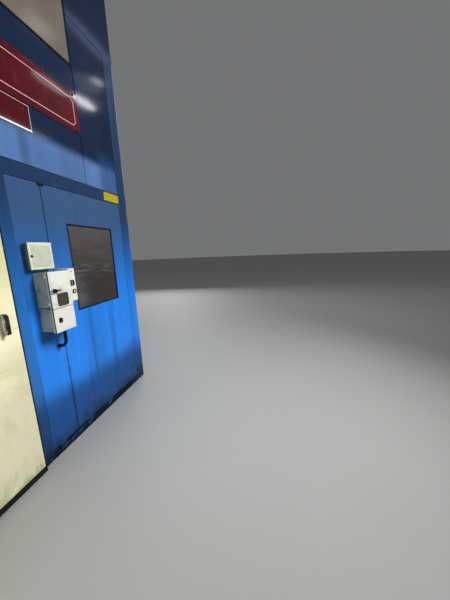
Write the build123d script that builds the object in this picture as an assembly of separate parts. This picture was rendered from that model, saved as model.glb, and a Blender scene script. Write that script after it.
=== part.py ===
from build123d import *
import os

# Enclosed hot forging press: flush steel sound panels on posts and rails, round a four-column press.
# Millimetres. The origin is on the floor under the middle of the machine.
# +X runs to the right seen from the front, +Y to the back and +Z up.

# Overall sizes of the enclosure
overall_width = 2790.0
overall_depth = 2800.0
overall_height = 4450.0
roof_thickness = 60.0

# Storey levels above the floor
base_rail_height = 70.0
belt_bottom = 2080.0
belt_height = 100.0
crown_rail_bottom = 3500.0
crown_rail_height = 50.0

# Posts, panels and the seams between them
post_width = 150.0
corner_radius = 10.0
panel_thickness = 60.0
panel_edge = 3.0
seam = 5.0
lip_reach = 30.0
lip_thickness = 50.0
seam_post_width = 80.0

# Front door with its leaf laid over the frame
leaf_width = 1168.0
leaf_lap = 25.0
leaf_thickness = 38.0
leaf_standoff = 6.0
leaf_bottom = 55.0
leaf_edge_radius = 6.0
pad_thickness = 30.0
pad_clearance = 18.0
jamb_face = 117.0

# Lift-off door hinges
hinge_from_bottom = 300.0
hinge_from_top = 275.0
hinge_barrel_radius = 15.0
hinge_barrel_length = 62.0
hinge_pin_radius = 8.0
hinge_pin_fit = 0.3
hinge_gap = 1.0
hinge_reach = 21.0
hinge_strap_length = 130.0
hinge_strap_height = 50.0
hinge_strap_thickness = 6.0
hinge_barrel_sides = 16

# Bridge handle on the door, with arms that flare towards their feet
handle_bottom = 1088.0
handle_length = 130.0
handle_inset = 95.0
handle_width = 24.0
handle_standoff = 46.0
handle_grip = 24.0
handle_foot = 18.0
handle_flare = 20.0
handle_corner = 9.0

# Front panels and window
narrow_panel_width = 258.0
window_from_seam = 194.0
window_from_post = 195.0
window_bottom = 1080.0
window_height = 732.0
gasket_width = 12.0
gasket_depth = 30.0
gasket_proud = 3.0
pane_thickness = 8.0
pane_recess = 6.0

# Upper front bay
bay_width = 1547.0
cream_bottom = 3117.0
cream_gasket = 12.0

# Boards on the front
name_board_bottom = 2590.0
name_board_height = 310.0
name_board_thickness = 5.0
lower_board_width = 558.0
lower_board_bottom = 2412.0
lower_board_height = 167.0
plate_width = 260.0
plate_height = 97.0
plate_thickness = 3.0
plate_from_corner = 145.0

# Wall boxes, shared construction
box_wall = 2.5
lid_wall = 2.0
lid_gap = 5.0
lid_lap = 5.0
lid_edge = 1.5
knuckle_radius = 4.0
knuckle_length = 16.0
knuckle_gap = 0.5
lug_height = 5.0
small_pin_radius = 2.0
small_pin_fit = 0.3
small_hinge_inset = 22.0
small_round_sides = 12

# Junction box
junction_from_jamb = 35.0
junction_bottom = 1463.0
junction_width = 190.0
junction_height = 190.0
junction_depth = 48.0
junction_lid_depth = 16.0

# Control box over the terminal box
control_from_jamb = 75.0
control_width = 187.0
control_bottom = 1179.0
control_height = 266.0
control_depth = 130.0
control_lid_depth = 25.0
terminal_bottom = 1000.0
terminal_height = 175.0

# Rotary switch on the control door
switch_from_left = 30.0
switch_height = 130.0
switch_hub_radius = 19.0
switch_hub_depth = 12.0
switch_lever_length = 66.0
switch_lever_width = 15.0
switch_lever_depth = 20.0
switch_lever_edge = 4.0
switch_spindle_radius = 5.0
switch_spindle_fit = 0.3
switch_spindle_length = 14.0
switch_hub_sides = 24

# Button box beside the control door
button_box_gap = 5.0
button_box_width = 56.0
button_box_bottom = 1203.0
button_box_height = 252.0
button_box_depth = 124.0
toggle_from_left = 20.0
toggle_height_up = 141.0
toggle_width = 34.0
toggle_length = 46.0
toggle_depth = 9.0
toggle_edge = 2.0
button_height_up = 74.0
button_radius = 17.0
button_depth = 8.0
button_sides = 24

# Quarter-turn locks
lock_width = 29.0
lock_length = 36.0
lock_depth = 5.0
lock_edge = 4.0
lock_inset = 33.0
small_lock_radius = 9.0
small_lock_inset = 20.0
small_lock_sides = 24

# Flexible conduit
conduit_radius = 11.0
conduit_sides = 8
conduit_from_left = 124.0
conduit_bend = 54.0
conduit_straight = 4.0
conduit_drop = 145.0
gland_radius = 17.0
gland_length = 14.0

# Press bed and feet
bed_width = 1500.0
bed_depth = 1040.0
bed_height = 800.0
foot_flange_height = 60.0
foot_flange_reach = 110.0
foot_bolt_inset = 60.0
foot_bolt_radius = 21.0
bed_pocket_width = 380.0
bed_pocket_height = 400.0
bed_pocket_depth = 120.0
bed_rib_width = 100.0

# Shouldered columns and their nuts
column_radius = 80.0
column_neck_radius = 62.0
column_span_x = 1120.0
column_span_y = 700.0
column_seat_depth = 300.0
column_fit = 0.5
nut_radius = 115.0
nut_height = 90.0
column_tip = 25.0

# Crown, main cylinder and ram
crown_bottom = 2760.0
crown_width = 1460.0
crown_depth = 1000.0
crown_height = 520.0
crown_edge = 40.0
cylinder_radius = 300.0
cylinder_flange_radius = 400.0
cylinder_flange_height = 90.0
cylinder_under_roof = 280.0
cylinder_neck_radius = 190.0
cylinder_neck_height = 110.0
ram_radius = 170.0
ram_fit = 0.5

# Slide
slide_bottom = 1640.0
slide_width = 1360.0
slide_depth = 940.0
slide_plate_height = 190.0
slide_hub_width = 760.0
slide_hub_depth = 640.0
slide_hub_height = 260.0
slide_corner = 90.0
bush_radius = 125.0
bush_height = 300.0

# Bolster and dies
bolster_width = 800.0
bolster_depth = 760.0
bolster_height = 120.0
slot_width = 28.0
slot_depth = 32.0
slot_pitch = 640.0
slot_count = 2
die_width = 420.0
die_depth = 340.0
lower_die_height = 170.0
upper_die_height = 150.0
die_edge = 12.0
die_cavity_radius = 70.0
die_cavity_depth = 36.0
die_shoe_height = 50.0
die_shoe_reach = 60.0

# Places worked out from the sizes above
half_width = overall_width / 2
half_depth = overall_depth / 2
front = -half_depth
belt_top = belt_bottom + belt_height
crown_rail_top = crown_rail_bottom + crown_rail_height
wall_top = overall_height - roof_thickness
post_inside = half_width - post_width
post_inside_y = half_depth - post_width
half_seam = seam / 2
lip_back = panel_thickness + lip_thickness

leaf_left = -post_inside - leaf_lap
leaf_right = leaf_left + leaf_width
leaf_top = belt_bottom + leaf_lap
leaf_back = front - leaf_standoff
leaf_front = leaf_back - leaf_thickness
jamb_left = leaf_right - leaf_lap
jamb_right = leaf_right + jamb_face
door_axis_x = leaf_left - hinge_reach
door_axis_y = leaf_front - hinge_strap_thickness / 2
hinge_low = leaf_bottom + hinge_from_bottom
hinge_high = leaf_top - hinge_from_top

narrow_right = jamb_right + narrow_panel_width
window_left = narrow_right + window_from_seam
window_right = post_inside - window_from_post
window_top = window_bottom + window_height
half_bay = bay_width / 2

lower_panel_bottom = base_rail_height + half_seam
lower_panel_top = belt_bottom - half_seam
upper_panel_bottom = belt_top + half_seam
upper_panel_top = crown_rail_bottom - half_seam

junction_left = jamb_right + junction_from_jamb
junction_right = junction_left + junction_width
control_left = jamb_right + control_from_jamb
control_right = control_left + control_width
control_top = control_bottom + control_height
terminal_top = terminal_bottom + terminal_height
button_box_left = control_right + button_box_gap
conduit_proud = gland_length + conduit_straight + conduit_bend
body_inset = lid_wall + lid_gap

column_x = column_span_x / 2
column_y = column_span_y / 2
crown_top = crown_bottom + crown_height
slide_plate_top = slide_bottom + slide_plate_height
slide_hub_top = slide_plate_top + slide_hub_height
bolster_top = bed_height + bolster_height


def block(x0, x1, y0, y1, z0, z1):
    """Solid between two opposite corners."""
    centre = Pos((x0 + x1) / 2, (y0 + y1) / 2, (z0 + z1) / 2)
    return centre * Box(x1 - x0, y1 - y0, z1 - z0)


def rod(x, y, z0, z1, radius):
    """Upright round bar."""
    return Pos(x, y, (z0 + z1) / 2) * Cylinder(radius, z1 - z0)


def small_rod(x, y, z0, z1, radius, sides):
    """Upright bar with flat sides, for the many small pins and barrels."""
    return Pos(x, y, z0) * extrude(RegularPolygon(radius, sides), z1 - z0)


def prism(points, z0, z1):
    """Upright solid on a plan outline."""
    outline = make_face(Polyline(*points, close=True))
    return Pos(0, 0, z0) * extrude(outline, z1 - z0, dir=(0, 0, 1))


def face_edges(solid, axis, last=False):
    """Edges of the solid's first or last face along an axis."""
    return solid.faces().sort_by(axis)[-1 if last else 0].edges()


def save(name, *solids):
    """Write one named piece, or several like pieces that don't touch."""
    shape = solids[0] if len(solids) == 1 else Compound(children=list(solids))
    export_step(shape, f"parts/{name}.step")


# Each wall has its own frame: x to the right seen from outside, y inwards, z up
wall_frames = {
    "front": Pos(0, -half_depth, 0),
    "right": Pos(half_width, 0, 0) * Rot(0, 0, 90),
    "back": Pos(0, half_depth, 0) * Rot(0, 0, 180),
    "left": Pos(-half_width, 0, 0) * Rot(0, 0, -90),
}


def wall_reach(side):
    """Half the distance between the posts on a wall."""
    return post_inside if side in ("front", "back") else post_inside_y


def panel(side, x0, x1, z0, z1):
    """Sound panel in a wall, with eased edges round its outer face."""
    slab = block(x0, x1, 0, panel_thickness, z0, z1)
    slab = chamfer(face_edges(slab, Axis.Y), panel_edge)
    return wall_frames[side] * slab


def rail(side, z0, z1):
    """Rail between the corner posts of a wall, as deep as the panels."""
    reach = wall_reach(side)
    return wall_frames[side] * block(-reach, reach, 0, panel_thickness, z0, z1)


def corner_post(side_x, side_y):
    """Corner post with a rounded outer corner and a lip behind each panel."""
    reach = post_width + lip_reach
    plan = [
        (0, 0),
        (post_width, 0),
        (post_width, panel_thickness),
        (reach, panel_thickness),
        (reach, lip_back),
        (post_width, lip_back),
        (post_width, post_width),
        (lip_back, post_width),
        (lip_back, reach),
        (panel_thickness, reach),
        (panel_thickness, post_width),
        (0, post_width),
    ]
    placed = [(side_x * (half_width - u), side_y * (half_depth - v)) for u, v in plan]
    post = prism(placed, 0, crown_rail_bottom)
    upright = post.edges().filter_by(Axis.Z)
    outer = upright.sort_by(lambda edge: side_x * edge.center().X + side_y * edge.center().Y)[-1]
    return fillet(outer, corner_radius)


def make_frame():
    """Posts and rails that carry the panels."""
    save("corner_posts", *[corner_post(sx, sy) for sx in (-1, 1) for sy in (-1, 1)])
    base_rails = [rail(side, 0, base_rail_height) for side in ("left", "right", "back")]
    for x0, x1 in ((-post_inside, jamb_left), (jamb_right - half_seam, post_inside)):
        base_rails.append(block(x0, x1, front, front + panel_thickness, 0, base_rail_height))
    save("base_rails", *base_rails)
    save("belt_rails", *[rail(side, belt_bottom, belt_top) for side in wall_frames])

    corner_piece = half_width - half_bay - half_seam
    depth = panel_thickness
    front_frame = wall_frames["front"]
    levels = (crown_rail_bottom, crown_rail_top)
    end_rails = [wall_frames["back"] * block(-half_width, half_width, 0, depth, *levels)]
    for x0 in (-half_width, half_width - corner_piece):
        end_rails.append(front_frame * block(x0, x0 + corner_piece, 0, depth, *levels))
    save("crown_end_rails", *end_rails)
    reach = half_depth - depth
    side_rails = [wall_frames[side] * block(-reach, reach, 0, depth, *levels) for side in ("left", "right")]
    save("crown_side_rails", *side_rails)


def seam_post(side, x, z0, z1):
    """Post behind a seam, against the backs of both panels."""
    half = seam_post_width / 2
    return wall_frames[side] * block(x - half, x + half, panel_thickness, lip_back, z0, z1)


def make_seam_posts():
    """Inner posts behind the seams of all four walls."""
    posts = [
        seam_post("front", narrow_right, 0, belt_top),
        seam_post("front", -half_bay, belt_bottom, wall_top),
        seam_post("front", half_bay, belt_bottom, wall_top),
    ]
    posts += [seam_post(side, 0, 0, wall_top) for side in ("left", "right", "back")]
    save("seam_posts", *posts)


def make_door_jamb():
    """Jamb from the floor to the belt, with a lip behind the narrow panel."""
    plan = [
        (jamb_left, front),
        (jamb_right - half_seam, front),
        (jamb_right - half_seam, front + panel_thickness),
        (jamb_right + lip_reach, front + panel_thickness),
        (jamb_right + lip_reach, front + lip_back),
        (jamb_left, front + lip_back),
    ]
    save("door_jamb", prism(plan, 0, belt_bottom))


def window_block(inset, y0, y1):
    """Solid on the window's outline less an inset, between two depths behind the wall's face."""
    left, right = window_left + inset, window_right - inset
    return block(left, right, front + y0, front + y1, window_bottom + inset, window_top - inset)


def make_lower_front():
    """Narrow panel, window panel, gasket and pane."""
    levels = (lower_panel_bottom, lower_panel_top)
    save("front_narrow_panel", panel("front", jamb_right + half_seam, narrow_right - half_seam, *levels))

    wide = panel("front", narrow_right + half_seam, post_inside - half_seam, *levels)
    wide -= window_block(0, 0, panel_thickness)
    save("front_window_panel", wide)

    gasket = window_block(0, -gasket_proud, gasket_depth)
    save("window_gasket", gasket - window_block(gasket_width, -gasket_proud, gasket_depth))
    save("window_pane", window_block(gasket_width, pane_recess, pane_recess + pane_thickness))


def make_upper_front():
    """Upper storey and crown of the front, with the cream panel in its gasket."""
    sides = []
    for x0, x1 in ((-post_inside, -half_bay), (half_bay, post_inside)):
        sides.append(panel("front", x0 + half_seam, x1 - half_seam, upper_panel_bottom, upper_panel_top))
    save("front_side_panels", *sides)

    inner = half_bay - half_seam
    save("front_centre_panel", panel("front", -inner, inner, upper_panel_bottom, cream_bottom - half_seam))

    frame_bottom = cream_bottom + half_seam
    ring = block(-inner, inner, 0, panel_thickness, frame_bottom, wall_top)
    hole = (-inner + cream_gasket, inner - cream_gasket, frame_bottom + cream_gasket, wall_top - cream_gasket)
    ring -= block(hole[0], hole[1], 0, panel_thickness, hole[2], hole[3])
    save("cream_panel_gasket", wall_frames["front"] * ring)
    save("front_cream_panel", panel("front", *hole))


def crown_panel(side, x0, x1):
    """Crown panel that stands on the crown rail."""
    return panel(side, x0, x1, crown_rail_top, wall_top)


def make_crown_front():
    """Crown panels that turn the front corners."""
    pieces = []
    for side_x in (-1, 1):
        ends = sorted((side_x * half_width, side_x * (half_bay + half_seam)))
        slab = block(ends[0], ends[1], front, front + panel_thickness, crown_rail_top, wall_top)
        upright = slab.edges().filter_by(Axis.Z)
        outer = upright.sort_by(lambda edge: side_x * edge.center().X - edge.center().Y)[-1]
        pieces.append(fillet(outer, corner_radius))
    save("front_crown_panels", *pieces)


def make_plain_walls():
    """Left, right and back walls, two bays wide and three rows high."""
    storeys = ((lower_panel_bottom, lower_panel_top), (upper_panel_bottom, upper_panel_top))
    for side in ("left", "right", "back"):
        reach = wall_reach(side) - half_seam
        pieces = []
        for z0, z1 in storeys:
            pieces.append(panel(side, -reach, -half_seam, z0, z1))
            pieces.append(panel(side, half_seam, reach, z0, z1))
        crown_reach = half_width if side == "back" else half_depth - panel_thickness - half_seam
        pieces.append(crown_panel(side, -crown_reach, -half_seam))
        pieces.append(crown_panel(side, half_seam, crown_reach))
        save(f"{side}_wall_panels", *pieces)


def make_roof():
    """Two roof panels that lie on the crown panels."""
    halves = []
    for x0, x1 in ((-half_width, -half_seam), (half_seam, half_width)):
        slab = block(x0, x1, -half_depth, half_depth, wall_top, overall_height)
        halves.append(chamfer(face_edges(slab, Axis.Z, last=True), panel_edge))
    save("roof_panels", *halves)


def make_door_leaf():
    """Door leaf with rounded front edges and a sound pad that enters the doorway."""
    leaf = block(leaf_left, leaf_right, leaf_front, leaf_back, leaf_bottom, leaf_top)
    leaf = fillet(face_edges(leaf, Axis.Y), leaf_edge_radius)
    pad_left = -post_inside + lip_reach + pad_clearance
    pad_right = jamb_left - pad_clearance
    pad_bottom = base_rail_height + pad_clearance
    pad_top = belt_bottom - pad_clearance
    leaf += block(pad_left, pad_right, leaf_back, front + pad_thickness, pad_bottom, pad_top)
    save("front_door", leaf)


def make_door_hinges():
    """Lift-off hinges: pins and lower barrels on the post, upper barrels on the leaf."""
    fixed = []
    moving = []
    thick = hinge_strap_thickness
    strap_lift = (hinge_barrel_length - hinge_strap_height) / 2
    x, y = door_axis_x, door_axis_y
    for level in (hinge_low, (hinge_low + hinge_high) / 2, hinge_high):
        top = level + hinge_barrel_length
        base = top + hinge_gap
        base_top = base + hinge_barrel_length
        bracket = block(x - thick, x + thick, y, front, level + strap_lift, top - strap_lift)
        barrel = small_rod(x, y, level, top, hinge_barrel_radius, hinge_barrel_sides)
        pin = small_rod(x, y, level, base_top, hinge_pin_radius, hinge_barrel_sides)
        fixed.append(barrel + bracket + pin)

        strap_end = leaf_left + hinge_strap_length
        strap = block(x, strap_end, leaf_front - thick, leaf_front, base + strap_lift, base_top - strap_lift)
        upper = small_rod(x, y, base, base_top, hinge_barrel_radius, hinge_barrel_sides) + strap
        bore_radius = hinge_pin_radius + hinge_pin_fit
        moving.append(upper - small_rod(x, y, base, base_top, bore_radius, hinge_barrel_sides))
    save("door_hinge_pins", *fixed)
    save("door_hinge_straps", *moving)


def handle_outline(foot, reach):
    """Side view of the handle's arms and grip, from a foot's length to a reach off the leaf."""
    lean = handle_flare * reach / handle_standoff
    points = [
        (0, foot),
        (-reach, foot + lean),
        (-reach, handle_length - foot - lean),
        (0, handle_length - foot),
    ]
    return make_face(Plane.YZ * Polyline(*points, close=True))


def make_door_handle():
    """Bridge handle with flared arms and a thick grip."""
    finger_gap = handle_outline(handle_foot, handle_standoff - handle_grip)
    side_view = handle_outline(0, handle_standoff) - finger_gap
    handle = extrude(side_view, handle_width, dir=(1, 0, 0))
    corners = handle.edges().filter_by(Axis.X).group_by(Axis.Y)[0]
    handle = fillet(corners, handle_corner)
    left = leaf_right - handle_inset - handle_width / 2
    save("door_handle", Pos(left, leaf_front, handle_bottom) * handle)


def board(middle_x, width, z0, height, thickness):
    """Flat board on the front."""
    return block(middle_x - width / 2, middle_x + width / 2, front - thickness, front, z0, z0 + height)


def make_boards():
    """Bare name board, lower board and number plate."""
    thick = name_board_thickness
    save("name_board", board(0, bay_width - seam, name_board_bottom, name_board_height, thick))
    save("lower_board", board(0, lower_board_width, lower_board_bottom, lower_board_height, thick))
    plate_x = half_width - plate_from_corner - plate_width / 2
    plate_z = belt_bottom + (belt_height - plate_height) / 2
    save("number_plate", board(plate_x, plate_width, plate_z, plate_height, plate_thickness))


def box_shell(x0, x1, z0, z1, depth, lid_depth):
    """Open-fronted wall box that stands inside its lid's rim."""
    mouth = front - depth + lid_depth - lid_lap
    outer = block(x0 + body_inset, x1 - body_inset, mouth, front, z0 + body_inset, z1 - body_inset)
    inset = body_inset + box_wall
    inner = block(x0 + inset, x1 - inset, mouth, front - box_wall, z0 + inset, z1 - inset)
    return outer - inner


def box_lid(x0, x1, z0, z1, depth, lid_depth):
    """Folded lid whose rim laps over the box."""
    face = front - depth
    outer = block(x0, x1, face, face + lid_depth, z0, z1)
    outer = chamfer(face_edges(outer, Axis.Y), lid_edge)
    wall = lid_wall
    inner = block(x0 + wall, x1 - wall, face + wall, face + lid_depth, z0 + wall, z1 - wall)
    return outer - inner


def box_hinge(edge_x, outward, face, lid_depth, z):
    """Small pintle at one height: a lug with its pin on the box, and the lid's knuckle over the pin."""
    axis_x = edge_x + outward * knuckle_radius
    axis_y = face + lid_depth
    upper = z + lug_height + knuckle_gap
    pin_top = upper + knuckle_length
    eye_radius = knuckle_radius - knuckle_gap
    reach = sorted((axis_x + outward * eye_radius, edge_x - outward * body_inset))
    arm_y = axis_y + small_pin_radius / 2
    arm = block(reach[0], reach[1], arm_y, arm_y + lug_height, z, z + lug_height)
    fixed = arm + small_rod(axis_x, axis_y, z, z + lug_height, eye_radius, small_round_sides)
    fixed += small_rod(axis_x, axis_y, z, pin_top, small_pin_radius, small_round_sides)
    ends = sorted((axis_x, edge_x))
    tab = block(ends[0], ends[1], axis_y - knuckle_radius, axis_y, upper, pin_top)
    moving = small_rod(axis_x, axis_y, upper, pin_top, knuckle_radius, small_round_sides) + tab
    moving -= small_rod(axis_x, axis_y, upper, pin_top, small_pin_radius + small_pin_fit, small_round_sides)
    return fixed, moving


def hinged_box(x0, x1, z0, z1, depth, lid_depth, hinge_side):
    """Box and lid with two hinges on one side, -1 for the left and 1 for the right."""
    shell = box_shell(x0, x1, z0, z1, depth, lid_depth)
    lid = box_lid(x0, x1, z0, z1, depth, lid_depth)
    edge_x = x1 if hinge_side > 0 else x0
    pair = lug_height + knuckle_gap + knuckle_length
    for z in (z0 + small_hinge_inset, z1 - small_hinge_inset - pair):
        fixed, moving = box_hinge(edge_x, hinge_side, front - depth, lid_depth, z)
        shell += fixed
        lid += moving
    return shell, lid


def make_junction_box():
    """Junction box, its lid hinged on the right and the lid's lock."""
    x0, x1 = junction_left, junction_right
    z0, z1 = junction_bottom, junction_bottom + junction_height
    shell, lid = hinged_box(x0, x1, z0, z1, junction_depth, junction_lid_depth, 1)
    save("junction_box", shell)
    save("junction_lid", lid)
    face = front - junction_depth
    lock = extrude(RegularPolygon(small_lock_radius, small_lock_sides), lock_depth)
    save("junction_lock", Pos(x0 + small_lock_inset, face, (z0 + z1) / 2) * Rot(90, 0, 0) * lock)


def make_control_box():
    """Control box with its door hinged on the left, and the rotary switch on the door."""
    shell, door = hinged_box(
        control_left, control_right, control_bottom, control_top, control_depth, control_lid_depth, -1
    )
    save("control_box", shell)
    face = front - control_depth
    x = control_left + switch_from_left
    z = control_bottom + switch_height
    turn = Pos(x, face, z) * Rot(90, 0, 0)
    bore_radius = switch_spindle_radius + switch_spindle_fit
    bore = small_rod(0, 0, -2 * lid_wall, lid_wall, bore_radius, small_round_sides)
    save("control_door", door - turn * bore)

    gap = switch_spindle_fit
    hub_top = gap + switch_hub_depth
    hub = small_rod(0, 0, gap, hub_top, switch_hub_radius, switch_hub_sides)
    lever_z = hub_top + switch_lever_depth / 2
    lever = Pos(0, 0, lever_z) * Box(switch_lever_length, switch_lever_width, switch_lever_depth)
    lever = chamfer(lever.edges().filter_by(Axis.Z), switch_lever_edge)
    spindle = small_rod(0, 0, gap - switch_spindle_length, gap, switch_spindle_radius, small_round_sides)
    save("rotary_switch", turn * (hub + lever + spindle))


def make_terminal_box():
    """Terminal box with its cover hinged on the right, and the cover's lock."""
    shell, cover = hinged_box(
        control_left, control_right, terminal_bottom, terminal_top, control_depth, control_lid_depth, 1
    )
    save("terminal_box", shell)
    save("terminal_cover", cover)
    x = control_left + lock_inset
    z = (terminal_bottom + terminal_top) / 2
    face = front - control_depth
    lock = block(x, x + lock_width, face - lock_depth, face, z - lock_length / 2, z + lock_length / 2)
    save("terminal_lock", chamfer(lock.edges().filter_by(Axis.Y), lock_edge))


def make_button_box():
    """Slim button box with a toggle and a push button."""
    x0 = button_box_left
    x1 = x0 + button_box_width
    face = front - button_box_depth
    z1 = button_box_bottom + button_box_height
    case = block(x0, x1, face, front, button_box_bottom, z1)
    save("button_box", chamfer(face_edges(case, Axis.Y), lid_edge))
    toggle_x = x0 + toggle_from_left
    toggle_z = button_box_bottom + toggle_height_up
    toggle = block(
        toggle_x - toggle_width / 2,
        toggle_x + toggle_width / 2,
        face - toggle_depth,
        face,
        toggle_z - toggle_length / 2,
        toggle_z + toggle_length / 2,
    )
    toggle = chamfer(face_edges(toggle, Axis.Y), toggle_edge)
    button = extrude(RegularPolygon(button_radius, button_sides), button_depth)
    button_place = Pos((x0 + x1) / 2, face, button_box_bottom + button_height_up) * Rot(90, 0, 0)
    save("toggle_and_button", toggle, button_place * button)


def make_conduit():
    """Flexible conduit from the terminal box's underside back into the narrow panel."""
    x = control_left + conduit_from_left
    y = front - conduit_proud
    box_underside = terminal_bottom + body_inset
    start = box_underside - gland_length
    end_z = terminal_bottom - conduit_drop
    wall_end = front - gland_length
    route = FilletPolyline((x, y, start), (x, y, end_z), (x, wall_end, end_z), radius=conduit_bend)
    section = Plane(origin=(x, y, start), z_dir=(0, 0, -1)) * RegularPolygon(conduit_radius, conduit_sides)
    save("conduit", sweep(section, route))
    nut = extrude(RegularPolygon(gland_radius, 6), gland_length)
    top_gland = Pos(x, y, start) * nut
    wall_gland = Pos(x, front, end_z) * Rot(90, 0, 0) * nut
    save("conduit_glands", top_gland, wall_gland)


def column_places():
    """Centres of the four columns."""
    return [(sx * column_x, sy * column_y) for sx in (-1, 1) for sy in (-1, 1)]


def make_bed():
    """Press bed with foot flanges, column bores, and a ribbed pair of pockets in its front and back."""
    half_w, half_d = bed_width / 2, bed_depth / 2
    bed = block(-half_w, half_w, -half_d, half_d, 0, bed_height)
    foot_y = half_d + foot_flange_reach
    bed += block(-half_w, half_w, -foot_y, foot_y, 0, foot_flange_height)
    bolt_x = half_w - foot_bolt_inset
    bolt_y = foot_y - foot_bolt_inset
    for x in (-bolt_x, bolt_x):
        for y in (-bolt_y, bolt_y):
            bed -= rod(x, y, 0, foot_flange_height, foot_bolt_radius)
    pocket_bottom = (bed_height - bed_pocket_height) / 2
    for side in (-1, 1):
        ends = sorted((side * half_d, side * (half_d - bed_pocket_depth)))
        for x0 in (-bed_rib_width / 2 - bed_pocket_width, bed_rib_width / 2):
            x1 = x0 + bed_pocket_width
            bed -= block(x0, x1, ends[0], ends[1], pocket_bottom, pocket_bottom + bed_pocket_height)
    for x, y in column_places():
        bed -= rod(x, y, bed_height - column_seat_depth, bed_height, column_neck_radius + column_fit)
    save("press_bed", bed)


def column(x, y):
    """One column, shouldered against the bed and the crown, with its nut on the crown."""
    neck_top = crown_top + nut_height + column_tip
    bar = rod(x, y, bed_height - column_seat_depth, neck_top, column_neck_radius)
    bar += rod(x, y, bed_height, crown_bottom, column_radius)
    return bar + Pos(x, y, crown_top) * extrude(RegularPolygon(nut_radius, 6), nut_height)


def make_crown():
    """Crown block with eased upper edges, column bores and the cylinder's seat."""
    half_w, half_d = crown_width / 2, crown_depth / 2
    crown = block(-half_w, half_w, -half_d, half_d, crown_bottom, crown_top)
    crown = chamfer(face_edges(crown, Axis.Z, last=True), crown_edge)
    for x, y in column_places():
        crown -= rod(x, y, crown_bottom, crown_top, column_neck_radius + column_fit)
    crown -= rod(0, 0, crown_bottom, crown_top, ram_radius + ram_fit)
    save("press_crown", crown)


def make_cylinder():
    """Main cylinder turned in one piece: flange, barrel and neck."""
    flange_top = crown_top + cylinder_flange_height
    cylinder_top = wall_top - cylinder_under_roof
    barrel_top = cylinder_top - cylinder_neck_height
    profile = [
        (0, crown_top),
        (cylinder_flange_radius, crown_top),
        (cylinder_flange_radius, flange_top),
        (cylinder_radius, flange_top),
        (cylinder_radius, barrel_top),
        (cylinder_neck_radius, barrel_top),
        (cylinder_neck_radius, cylinder_top),
        (0, cylinder_top),
    ]
    half = make_face(Plane.XZ * Polyline(*profile, close=True))
    save("main_cylinder", revolve(half, Axis.Z))


def make_slide():
    """Slide on the columns, with a guide bush at each corner, and the ram above it."""
    half_w, half_d = slide_width / 2, slide_depth / 2
    slide = block(-half_w, half_w, -half_d, half_d, slide_bottom, slide_plate_top)
    slide = chamfer(slide.edges().filter_by(Axis.Z), slide_corner)
    half_w, half_d = slide_hub_width / 2, slide_hub_depth / 2
    slide += block(-half_w, half_w, -half_d, half_d, slide_plate_top, slide_hub_top)
    for x, y in column_places():
        slide += rod(x, y, slide_bottom, slide_bottom + bush_height, bush_radius)
        slide -= rod(x, y, slide_bottom, slide_bottom + bush_height, column_radius + column_fit)
    save("press_slide", slide)
    save("press_ram", rod(0, 0, slide_hub_top, crown_top, ram_radius))


def tee_slots(top):
    """Cuts for the clamping slots across a plate's top."""
    half_d = bolster_depth / 2
    first = -slot_pitch * (slot_count - 1) / 2
    cuts = []
    for index in range(slot_count):
        x = first + index * slot_pitch
        neck = block(x - slot_width / 2, x + slot_width / 2, -half_d, half_d, top - slot_depth, top)
        foot = block(x - slot_width, x + slot_width, -half_d, half_d, top - 2 * slot_depth, top - slot_depth)
        cuts.append(neck + foot)
    return cuts


def die_half(z_seat, height, up):
    """Die block on its shoe, with a round cavity in the working face."""
    half_w, half_d = die_width / 2, die_depth / 2
    shoe_w = half_w + die_shoe_reach
    ends = sorted((z_seat, z_seat + up * die_shoe_height))
    shoe = block(-shoe_w, shoe_w, -half_d, half_d, ends[0], ends[1])
    ends = sorted((z_seat + up * die_shoe_height, z_seat + up * height))
    body = block(-half_w, half_w, -half_d, half_d, ends[0], ends[1])
    body = chamfer(face_edges(body, Axis.Z, last=up > 0), die_edge)
    face_z = z_seat + up * height
    ends = sorted((face_z, face_z - up * die_cavity_depth))
    return shoe + body - rod(0, 0, ends[0], ends[1], die_cavity_radius)


def make_dies():
    """Bolster with its slots and the two dies."""
    half_w, half_d = bolster_width / 2, bolster_depth / 2
    bolster = block(-half_w, half_w, -half_d, half_d, bed_height, bolster_top)
    for cut in tee_slots(bolster_top):
        bolster -= cut
    save("bolster_plate", bolster)
    save("lower_die", die_half(bolster_top, lower_die_height, 1))
    save("upper_die", die_half(slide_bottom, upper_die_height, -1))


def make_press():
    """Four-column press inside the enclosure."""
    make_bed()
    save("press_columns", *[column(x, y) for x, y in column_places()])
    make_crown()
    make_cylinder()
    make_slide()
    make_dies()


os.makedirs("parts", exist_ok=True)
make_frame()
make_seam_posts()
make_door_jamb()
make_lower_front()
make_upper_front()
make_crown_front()
make_plain_walls()
make_roof()
make_door_leaf()
make_door_hinges()
make_door_handle()
make_boards()
make_junction_box()
make_control_box()
make_terminal_box()
make_button_box()
make_conduit()
make_press()
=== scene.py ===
"""Looks of an enclosed hot forging press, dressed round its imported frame.

Lengths are metres in the frame's own axes: +X runs to the right seen from the front, +Y to the
back and +Z up. Each class dresses one sub-assembly, and main builds them in order.
"""

import logging
import math
from collections.abc import Callable, Iterable, Iterator
from contextlib import contextmanager
from dataclasses import dataclass
from enum import Enum

import bmesh
import bpy
from mathutils import Matrix, Vector


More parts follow.
